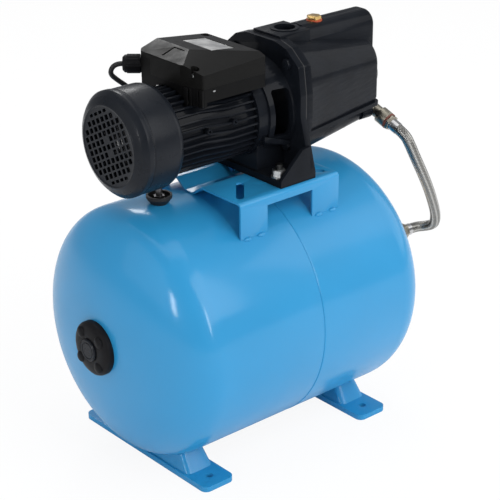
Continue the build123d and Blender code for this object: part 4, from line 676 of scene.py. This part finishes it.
# Name, place, aim, width, height and power of each lamp.
LAMPS = (
    ("key_lamp", (0.7, -2.7, 2.3), MIDDLE, 2.6, 2.6, 60),
    ("fill_lamp", (-2.8, 0.7, 1.7), MIDDLE, 2.2, 2.2, 10),
    ("side_lamp", (2.6, -0.9, 1.4), MIDDLE, 2.0, 2.0, 18),
    ("top_lamp", (0.1, 0.6, 3.1), MIDDLE, 2.8, 2.8, 34),
    ("back_lamp", (1.15, 2.15, 2.15), MIDDLE, 0.7, 0.7, 16),
    ("left_strip", (-2.22, -0.64, 0.98), (-0.21, -0.12, 0.30), 0.20, 0.62, 9.0),
    ("front_strip", (-0.21, -2.20, 1.00), (-0.18, -0.16, 0.28), 0.11, 0.80, 6.5),
)


def shown_to_camera(tree, plain, bright, output, share=1.0):
    """Gives the camera that share of the bright shader, and all other rays the plain one."""
    seen = tree.nodes.new("ShaderNodeLightPath")
    part = tree.nodes.new("ShaderNodeMath")
    part.operation = "MULTIPLY"
    part.inputs[1].default_value = share
    mix = tree.nodes.new("ShaderNodeMixShader")
    tree.links.new(seen.outputs["Is Camera Ray"], part.inputs[0])
    for source, socket in zip((part, plain, bright), mix.inputs):
        tree.links.new(source.outputs[0], socket)
    tree.links.new(mix.outputs[0], output.inputs["Surface"])


class PUMP_OT_stage(bpy.types.Operator):
    """Sets up the camera, the lamps, the floor and the white surroundings"""

    bl_idname = "pump.stage"
    bl_label = "Stage"
    bl_options = {"REGISTER", "UNDO"}

    def execute(self, context):
        sizes = context.scene.pump_stage
        self.camera(context, sizes)
        self.floor(context)
        self.lamps()
        self.surroundings(context)
        context.scene.view_settings.view_transform = "Standard"
        return {"FINISHED"}

    def camera(self, context, sizes):
        place = Vector(sizes.camera_at)
        sight = Vector(sizes.look_at) - place
        turn = sight.to_track_quat("-Z", "Y").to_matrix() @ Matrix.Rotation(sizes.roll, 3, "Z")
        nothing_selected()
        bpy.ops.object.camera_add(location=place, rotation=turn.to_euler())
        camera = context.object
        camera.name = "camera"
        camera.data.lens = sizes.lens
        camera.data.sensor_width = SENSOR_WIDTH
        camera.data.clip_end = VIEW_END
        context.scene.camera = camera

    def floor(self, context):
        nothing_selected()
        bpy.ops.mesh.primitive_plane_add(size=FLOOR_SIZE, location=(0, 0, 0))
        floor = context.object
        floor.name = "studio_floor"
        material = bpy.data.materials.new("studio_floor")
        material.use_nodes = True
        nodes = material.node_tree.nodes
        plain = nodes["Principled BSDF"]
        plain.inputs["Base Color"].default_value = context.scene.pump_colours.floor
        plain.inputs["Roughness"].default_value = 0.9
        plain.inputs["Specular IOR Level"].default_value = 0.0
        bright = nodes.new("ShaderNodeEmission")
        bright.inputs["Strength"].default_value = 1.0
        output = nodes["Material Output"]
        shown_to_camera(material.node_tree, plain, bright, output, FLOOR_WHITE_SHARE)
        floor.data.materials.append(material)

    def lamps(self):
        for name, place, aim, wide, high, power in LAMPS:
            nothing_selected()
            turn = (Vector(aim) - Vector(place)).to_track_quat("-Z", "Y").to_euler()
            bpy.ops.object.light_add(type="AREA", location=place, rotation=turn)
            lamp = bpy.context.object
            lamp.name = name
            lamp.data.shape = "RECTANGLE"
            lamp.data.size = wide
            lamp.data.size_y = high
            lamp.data.energy = power

    def surroundings(self, context):
        world = bpy.data.worlds.new("surroundings")
        context.scene.world = world
        world.use_nodes = True
        nodes = world.node_tree.nodes
        ambient = nodes["Background"]
        ambient.inputs["Color"].default_value = AMBIENT_COLOUR
        ambient.inputs["Strength"].default_value = AMBIENT_STRENGTH
        white = nodes.new("ShaderNodeBackground")
        white.inputs["Color"].default_value = (1, 1, 1, 1)
        white.inputs["Strength"].default_value = 1.0
        shown_to_camera(world.node_tree, ambient, white, nodes["World Output"])


class PUMP_OT_lead(bpy.types.Operator):
    """Lays the mains lead from its gland to the coil behind the tank and on to its plug"""

    bl_idname = "pump.lead"
    bl_label = "Mains lead"
    bl_options = {"REGISTER", "UNDO"}

    def execute(self, context):
        sizes = context.scene.pump_cords
        points = list(LEAD_ROUTE) + coil_points() + list(LEAD_TAIL)
        lead = smooth_line("mains_lead", points, sizes.lead_diameter)
        finished(lead, MATERIALS["lead"], "cord_rubber", "power_cord", "cord_coil", "cord_tail")
        plug = dressed_copy("mains_plug", MATERIALS["plug"], "plug_rubber", 0.0008, 3)
        return {"FINISHED"}


class PUMP_OT_hose(bpy.types.Operator):
    """Lays the braided hose from the elbow down to the tank's flange"""

    bl_idname = "pump.hose"
    bl_label = "Braided hose"
    bl_options = {"REGISTER", "UNDO"}

    def execute(self, context):
        sizes = context.scene.pump_cords
        hose = smooth_line("braided_hose_line", HOSE_ROUTE, sizes.hose_diameter, 12)
        finished(hose, MATERIALS["braid"], "braid", "braided_hose")
        return {"FINISHED"}


# ---------------------------------------------------------------------------
# Operators: tank, motor and pump
# ---------------------------------------------------------------------------

# Edges of the two shells where they meet: how far along from the seam, how many walls
# inside the barrel's radius, and how far outward of that.
SEAM_EDGES = {
    -1: (
        (-0.0060, 1, 0.0), (0.0090, 2.2, 0.0), (0.0090, 1.2, 0.0), (0.0006, 0, -0.0007),
        (-0.0014, 0, -0.0006), (-0.0042, 0, 0.0),
    ),
    1: (
        (0.0008, 1, 0.0), (0.0, 0, -0.0007), (0.0002, 0, -0.0001), (0.0010, 0, 0.0003),
        (0.0026, 0, 0.0003), (0.0052, 0, 0.0),
    ),
}


def dome(side, radius, depth, straight, steps=22, power=2.2):
    """Profile of a domed end from its straight barrel to its pole."""
    points = []
    for step in range(steps + 1):
        turn = math.pi / 2 * step / steps
        x = straight + depth * math.sin(turn) ** (2 / power)
        points.append((side * x, radius * max(math.cos(turn), 0.0) ** (2 / power)))
    return points


class PUMP_OT_tank(bpy.types.Operator):
    """Spins the two enamelled shells of the tank"""

    bl_idname = "pump.tank"
    bl_label = "Tank shells"
    bl_options = {"REGISTER", "UNDO"}

    def execute(self, context):
        sizes = context.scene.pump_tank
        for node, side in (("tank_shell_left", -1), ("tank_shell_right", 1)):
            outer = dome(side, sizes.radius, sizes.dome, sizes.straight)
            inner = dome(side, sizes.radius - sizes.wall, sizes.dome - sizes.wall, sizes.straight)
            edge = [
                (sizes.seam + along, sizes.radius - walls * sizes.wall + out)
                for along, walls, out in SEAM_EDGES[side]
            ]
            outline = outer + list(reversed(inner)) + edge
            shell = lathe(node + "_dressed", outline, sizes.axis_height, steps=160)
            smooth(shell, 40)
            finished(shell, MATERIALS["enamel"], "tank_blue", node)
        return {"FINISHED"}


GRILLE_ROWS = (4, 6, 8, 9, 9, 9, 9, 9, 8, 6, 4)
END_ROW_SHARE = 0.62
SLOT_CUT = 0.014
# The raised ring round the grille's face, the swell of the cover behind it, the groove
# behind the band and the shoulder at the barrel's rear, each added to a size of the cover.
DISC_RING = ((0.0, 0.0034), (0.0007, 0.0028), (0.0007, 0.0008))
FRONT_SWELL = (0.0008, 0.0012, 0.0008)
BAND_GROOVE = ((0.0006, 0.0006), (0.0022, 0.0006), (0.0034, 0.0))
REAR_SHOULDER = (0.0030, 0.0007)


class PUMP_OT_fan_cover(bpy.types.Operator):
    """Spins the fan cover and cuts its turned grille"""

    bl_idname = "pump.fan_cover"
    bl_label = "Fan cover"
    bl_options = {"REGISTER", "UNDO"}

    def execute(self, context):
        sizes = context.scene.pump_cover
        height = context.scene.pump_motor.axis_height
        outer = self.profile(sizes, 0.0)
        inner = self.profile(sizes, sizes.wall)
        cover = lathe("fan_cover_dressed", outer + list(reversed(inner)), height, steps=144)
        bevelled(cover, 0.0007, 2, 12)
        cutter = self.slots(sizes, height)
        with_modifier(cover, "BOOLEAN", operation="DIFFERENCE", object=cutter, solver="EXACT")
        bpy.data.objects.remove(cutter)
        smooth(cover, 30)
        finished(cover, MATERIALS["cover"], "cover_plastic", "fan_cover")
        return {"FINISHED"}

    def profile(self, sizes, inset):
        """Half section from the disc's middle over the band and barrel to the rim."""
        front = sizes.front + inset
        disc = sizes.disc_radius
        band = sizes.band_radius - inset
        barrel = sizes.barrel_radius - inset
        points = [(front, 0.0)]
        if not inset:
            points += [(front - rise, disc - back) for rise, back in DISC_RING]
        points.append((front, disc))
        for step, out in enumerate(FRONT_SWELL, start=1):
            share = step / (len(FRONT_SWELL) + 1)
            points.append((
                front + (sizes.band_front - front) * share - out,
                disc + (band - disc) * share + out,
            ))
        points += [(sizes.band_front, band), (sizes.band_rear, band)]
        points += [(sizes.band_rear + along, barrel - drop) for along, drop in BAND_GROOVE]
        points += [
            (sizes.barrel_rear, barrel),
            (sizes.barrel_rear + REAR_SHOULDER[0], barrel - REAR_SHOULDER[1]),
            (sizes.rim, sizes.rim_radius - inset),
        ]
        return points

    def slots(self, sizes, height):
        """One mesh of all the grille's slots, in turned rows that leave the hub whole."""
        turn = sizes.grille_turn
        along_row = Vector((0, -math.cos(turn), math.sin(turn)))
        across_rows = Vector((0, -math.sin(turn), -math.cos(turn)))
        centre = Vector((sizes.front, 0, height))
        pieces = []
        last_row = len(GRILLE_ROWS) - 1
        for row, count in enumerate(GRILLE_ROWS):
            row_place = (row - last_row / 2) * sizes.row_pitch
            high = sizes.slot_high * (END_ROW_SHARE if row in (0, last_row) else 1)
            by_hub = 0.5 < abs(row_place) / sizes.row_pitch < 1.5
            for slot in range(count):
                slot_place = (slot - (count - 1) / 2) * sizes.slot_pitch
                if by_hub and abs(slot_place) < 0.0001:
                    continue
                bpy.ops.mesh.primitive_cube_add(
                    size=1, location=centre + along_row * slot_place + across_rows * row_place,
                    rotation=(-turn, 0, 0), scale=(SLOT_CUT, sizes.slot_wide, high),
                )
                pieces.append(bpy.context.object)
        cutter = joined(pieces, "grille_cutter")
        applied(cutter)
        bevelled(cutter, sizes.slot_corner, 3)
        return cutter


# Section of the crowned cap, as places along the tank and radii.
CAP_OUTLINE = (
    (-0.2484, 0.0392), (-0.2546, 0.0392), (-0.2564, 0.0386), (-0.2582, 0.0368),
    (-0.2598, 0.0338), (-0.2610, 0.0300), (-0.2617, 0.0250), (-0.2620, 0.0200),
    (-0.2620, 0.0170), (-0.2616, 0.0164), (-0.2560, 0.0164), (-0.2560, 0.0048),
    (-0.2535, 0.0048), (-0.2535, 0.0095), (-0.2495, 0.0095), (-0.2495, 0.0120),
    (-0.2535, 0.0120), (-0.2535, 0.0185), (-0.2595, 0.0185), (-0.2594, 0.0230),
    (-0.2580, 0.0300), (-0.2560, 0.0340), (-0.2540, 0.0367), (-0.2484, 0.0367),
)
SWELL_PLACE = -0.2606
SWELL_CIRCLE = 0.0276
SWELL_HALF_SIZES = (0.0040, 0.0084, 0.0084)
FIRST_SWELL_DEGREES = 139


class PUMP_OT_end_cap(bpy.types.Operator):
    """Spins the crowned cap on the tank's fan end, with four round swells about its button"""

    bl_idname = "pump.end_cap"
    bl_label = "Tank end cap"
    bl_options = {"REGISTER", "UNDO"}

    def execute(self, context):
        height = context.scene.pump_tank.axis_height
        cap = lathe("tank_end_cap_dressed", CAP_OUTLINE, height, steps=96)
        swells = []
        for quarter in range(4):
            turn = math.radians(FIRST_SWELL_DEGREES + 90 * quarter)
            bpy.ops.mesh.primitive_uv_sphere_add(
                segments=32, ring_count=16, radius=1.0, scale=SWELL_HALF_SIZES,
                location=(
                    SWELL_PLACE, SWELL_CIRCLE * math.cos(turn),
                    height + SWELL_CIRCLE * math.sin(turn),
                ),
            )
            swells.append(applied(bpy.context.object))
        swell = joined(swells, "cap_swells")
        with_modifier(cap, "BOOLEAN", operation="UNION", object=swell, solver="EXACT")
        bpy.data.objects.remove(swell)
        smooth(cap, 38)
        finished(cap, MATERIALS["gland"], "cover_plastic", "tank_end_cap")
        return {"FINISHED"}


LID_FALL = 0.118
LID_RECESS_HEIGHT = 0.5784
FOIL_CORNERS = ((-0.0553, -0.0213), (-0.0152, -0.0213), (-0.0152, 0.0413), (-0.0553, 0.0413))
FOIL_THICKNESS = 0.0004
CLIP_PLACE = (-0.0862, -0.063, 0.546)
CLIP_OUTLINE = (
    (-0.0020, -0.0008), (0.0020, -0.0008), (0.0020, 0.0004), (0.0012, 0.0010),
    (-0.0012, 0.0010), (-0.0020, 0.0004),
)
CLIP_THICKNESS = 0.0012
# The terminal box's cut-back corner from end to end, and its ribs: where each starts and
# ends as a share of that way, how far it stands out, and its lower end.
CORNER_ENDS = (Vector((-0.114, -0.027, 0)), Vector((-0.104, -0.063, 0)))
RIBS = (
    (0.20, 0.36, 0.0030, 0.5235),
    (0.40, 0.50, 0.0018, 0.5265),
    (0.72, 0.80, 0.0014, 0.5275),
    (0.86, 1.00, 0.0026, 0.5265),
)
RIB_TOP = 0.5500
RIB_ROOT = 0.0004
BOSS_OUTLINE = (
    (0.0, 0.0), (0.0, 0.0016), (0.0030, 0.0016), (0.0036, 0.0022), (0.0036, 0.0034),
    (0.0026, 0.0042), (-0.0060, 0.0046), (-0.0060, 0.0),
)
# Place along the shaft of each boss, and how far it is turned up from the shaft's height.
BOSSES = ((-0.0935, math.radians(7.5)), (-0.0485, math.radians(10.5)))
BOSS_SUNK = 0.001
# Half length and radius of a weld bead, and the depth and number of its ripples, which
# are counted over a full turn of its outline.
BEAD_HALF = 0.0065
BEAD_RADIUS = 0.003
BEAD_RIPPLE = 0.07
BEAD_RIPPLES = 8
BEAD_STEPS = 24
WELD_PLACES = (-0.070, -0.046, 0.061, 0.087)
WELD_REACH = 0.1105


class PUMP_OT_trim(bpy.types.Operator):
    """Adds the lid's foil, the box's clip and ribs, the motor's bosses and the weld beads"""

    bl_idname = "pump.trim"
    bl_label = "Foil, clip, ribs, bosses and welds"
    bl_options = {"REGISTER", "UNDO"}

    def execute(self, context):
        self.foil()
        self.clip()
        self.corner_ribs()
        self.bosses(context.scene.pump_motor)
        self.welds(context.scene.pump_tank)
        return {"FINISHED"}

    def foil(self):
        """A bare foil in the shallow recess of the lid's top slope."""
        corners = [(x, y, LID_RECESS_HEIGHT - LID_FALL * x) for x, y in FOIL_CORNERS]
        out = Vector((LID_FALL, 0, 1)).normalized()
        foil = prism("lid_foil", corners, out * FOIL_THICKNESS)
        smooth(foil, 30)
        finished(foil, MATERIALS["foil"], "box_plastic")

    def clip(self):
        """The small spring clip on the terminal box's front wall."""
        x, y, z = CLIP_PLACE
        outline = [(x + along, y, z + up) for along, up in CLIP_OUTLINE]
        clip = bevelled(prism("box_clip", outline, (0, -CLIP_THICKNESS, 0)), 0.0003)
        smooth(clip, 30)
        finished(clip, MATERIALS["zinc"], "zinc")

    def corner_ribs(self):
        """Upright ribs on the terminal box's cut-back corner; the first goes down to the motor."""
        start, end = CORNER_ENDS
        along = (end - start).normalized()
        outward = Vector((along.y, -along.x, 0))
        ribs = []
        for first, last, out, bottom in RIBS:
            left, right = start.lerp(end, first), start.lerp(end, last)
            outline = [
                point + Vector((0, 0, bottom)) for point in (
                    left - outward * RIB_ROOT, right - outward * RIB_ROOT,
                    right + outward * out, left + outward * out,
                )
            ]
            ribs.append(prism("corner_rib", outline, (0, 0, RIB_TOP - bottom)))
        ribs = bevelled(joined(ribs, "corner_ribs"), 0.0005, 3)
        smooth(ribs, 30)
        finished(ribs, MATERIALS["box"], "box_plastic")

    def bosses(self, motor):
        """Two small drilled bosses among the fins, on the motor's near side."""
        pieces = []
        for x, turn in BOSSES:
            boss = lathe("fin_boss", BOSS_OUTLINE, 0.0, steps=24, closed=False)
            radial = Vector((0, -math.cos(turn), math.sin(turn)))
            boss.rotation_euler = (0, 0, -math.pi / 2)
            applied(boss)
            boss.rotation_euler = (-turn, 0, 0)
            foot = radial * (motor.fin_radius - BOSS_SUNK)
            boss.location = Vector((x, 0, motor.axis_height)) + foot
            pieces.append(applied(boss))
        bosses = smooth(joined(pieces, "fin_bosses"), 35)
        finished(bosses, MATERIALS["casting"], "pump_black")

    def welds(self, tank):
        """Short rippled beads where the console's legs meet the tank."""
        height = tank.axis_height + math.sqrt(tank.radius ** 2 - WELD_REACH ** 2)
        outline = []
        for step in range(BEAD_STEPS + 1):
            turn = math.pi * step / BEAD_STEPS
            ripple = 1 + BEAD_RIPPLE * math.cos(BEAD_RIPPLES * turn)
            outline.append((-BEAD_HALF * math.cos(turn), BEAD_RADIUS * math.sin(turn) * ripple))
        bead = lathe("weld_bead", outline, 0.0, steps=20, closed=False)
        beads = [
            copied_to(bead, (x, side * WELD_REACH, height))
            for side in (-1, 1) for x in WELD_PLACES
        ]
        bpy.data.objects.remove(bead)
        beads = joined(beads, "weld_beads")
        smooth(beads, 60)
        finished(beads, MATERIALS["enamel"], "tank_blue")


# Node, finish, slot, bevel width, its segments, and the angle that counts as an edge.
DRESSED = (
    ("tank_foot_left", "enamel", "tank_blue", 0.0045, 5, 50),
    ("tank_foot_right", "enamel", "tank_blue", 0.0045, 5, 50),
    ("pump_console", "enamel", "tank_blue", 0.0006, 2, 35),
    ("pump_bracket", "casting", "pump_black", 0.0016, 4, 35),
    ("pump_body", "body_casting", "pump_black", 0.0015, 3, 35),
    ("motor_housing", "casting", "pump_black", 0.0005, 2, 35),
    ("terminal_box_base", "box", "box_plastic", 0.0012, 2, 12),
    ("terminal_box_lid", "lid", "box_plastic", 0.0010, 3, 12),
    ("gland_nut", "gland", "gland_plastic", 0.0004, 2, 35),
    ("cable_gland", "gland", "gland_plastic", 0.0004, 2, 35),
    ("hose_elbow", "nickel", "nickel", 0.0005, 2, 35),
    ("upper_hose_nut", "nickel", "nickel", 0.0006, 2, 35),
    ("lower_hose_nut", "nickel", "nickel", 0.0006, 2, 35),
    ("tank_connector", "brass", "brass", 0.0005, 2, 35),
    ("priming_plug", "brass", "brass", 0.0004, 2, 35),
    ("foot_bolts", "bolt_zinc", "zinc", 0.0004, 2, 35),
    ("body_bolts", "casting", "pump_black", 0.0004, 2, 35),
    ("flange_bolts", "zinc", "zinc", 0.0004, 2, 35),
)
# Finish of each piece that is shown as it is.
CARRIED = {
    "tank_flange": "zinc",
    "air_valve": "brass",
    "air_valve_cap": "cover",
    "tank_membrane": "membrane",
    "stator_core": "lamination",
    "stator_windings": "copper",
    "rotor_core": "aluminium",
    "motor_shaft": "steel",
    "front_bearing": "steel",
    "rear_bearing": "steel",
    "front_end_shield": "rough_casting",
    "rear_end_shield": "aluminium",
    "cooling_fan": "fan",
    "motor_support": "lead",
    "support_stud": "dark_zinc",
    "lid_screws": "zinc",
    "terminal_block": "white",
    "capacitor": "white",
    "seal_seat": "ceramic",
    "seal_ring": "steel",
    "impeller": "fan",
    "impeller_nut": "brass",
    "diffuser": "fan",
    "ejector": "fan",
    "body_gasket": "plug",
    "priming_plug_seal": "washer",
    "drain_plug": "brass",
    "elbow_gasket": "gasket",
    "upper_ferrule": "steel",
    "lower_ferrule": "steel",
}


def body_of(node):
    """The body of the record that the node moves with."""
    for body, nodes in frame["record"]["behaviour"]["bodies"].items():
        if node in nodes:
            return body
    raise RuntimeError(f"{node} is on no body")


class PUMP_OT_castings(bpy.types.Operator):
    """Breaks the edges of the castings, feet, box, nuts and bolts, and gives them finishes"""

    bl_idname = "pump.castings"
    bl_label = "Castings and fittings"
    bl_options = {"REGISTER", "UNDO"}

    def execute(self, context):
        for node, material, slot, edge, segments, angle in DRESSED:
            dressed_copy(node, MATERIALS[material], slot, edge, segments, body_of(node), angle)
        return {"FINISHED"}


class PUMP_OT_carried(bpy.types.Operator):
    """Gives each piece that is shown as it is its own finish"""

    bl_idname = "pump.carried"
    bl_label = "Carried-over pieces"
    bl_options = {"REGISTER", "UNDO"}

    def execute(self, context):
        for node, material in CARRIED.items():
            piece = frame["nodes"][node]
            for holder in piece.material_slots:
                holder.material = MATERIALS[material]
            if not piece.material_slots:
                piece.data.materials.append(MATERIALS[material])
        return {"FINISHED"}


class PUMP_PT_panel(bpy.types.Panel):
    """Lists the pump's sizes and the operators that make it"""

    bl_idname = "PUMP_PT_panel"
    bl_label = "Booster Pump"
    bl_space_type = "VIEW_3D"
    bl_region_type = "UI"
    bl_category = "Booster Pump"

    def draw(self, context):
        layout = self.layout
        for holder, _ in GROUPS:
            group = getattr(context.scene, holder)
            box = layout.box()
            for key in group.__annotations__:
                box.prop(group, key)
        for operator in OPERATORS:
            layout.operator(operator.bl_idname)


GROUPS = (
    ("pump_tank", PumpTankSizes),
    ("pump_motor", PumpMotorSizes),
    ("pump_cover", PumpCoverSizes),
    ("pump_cords", PumpCordSizes),
    ("pump_colours", PumpColours),
    ("pump_stage", PumpStageSizes),
)
OPERATORS = (
    PUMP_OT_stage,
    PUMP_OT_lead,
    PUMP_OT_hose,
    PUMP_OT_tank,
    PUMP_OT_fan_cover,
    PUMP_OT_end_cap,
    PUMP_OT_trim,
    PUMP_OT_castings,
    PUMP_OT_carried,
)


def register():
    for holder, group in GROUPS:
        bpy.utils.register_class(group)
        setattr(bpy.types.Scene, holder, PointerProperty(type=group))
    for operator in OPERATORS:
        bpy.utils.register_class(operator)
    bpy.utils.register_class(PUMP_PT_panel)


def unregister():
    bpy.utils.unregister_class(PUMP_PT_panel)
    for operator in reversed(OPERATORS):
        bpy.utils.unregister_class(operator)
    for holder, group in reversed(GROUPS):
        delattr(bpy.types.Scene, holder)
        bpy.utils.unregister_class(group)


def main():
    register()
    make_materials(bpy.context.scene.pump_colours)
    for operator in OPERATORS:
        namespace, action = operator.bl_idname.split(".")
        getattr(getattr(bpy.ops, namespace), action)()
    nothing_selected()


if __name__ == "__main__":
    main()
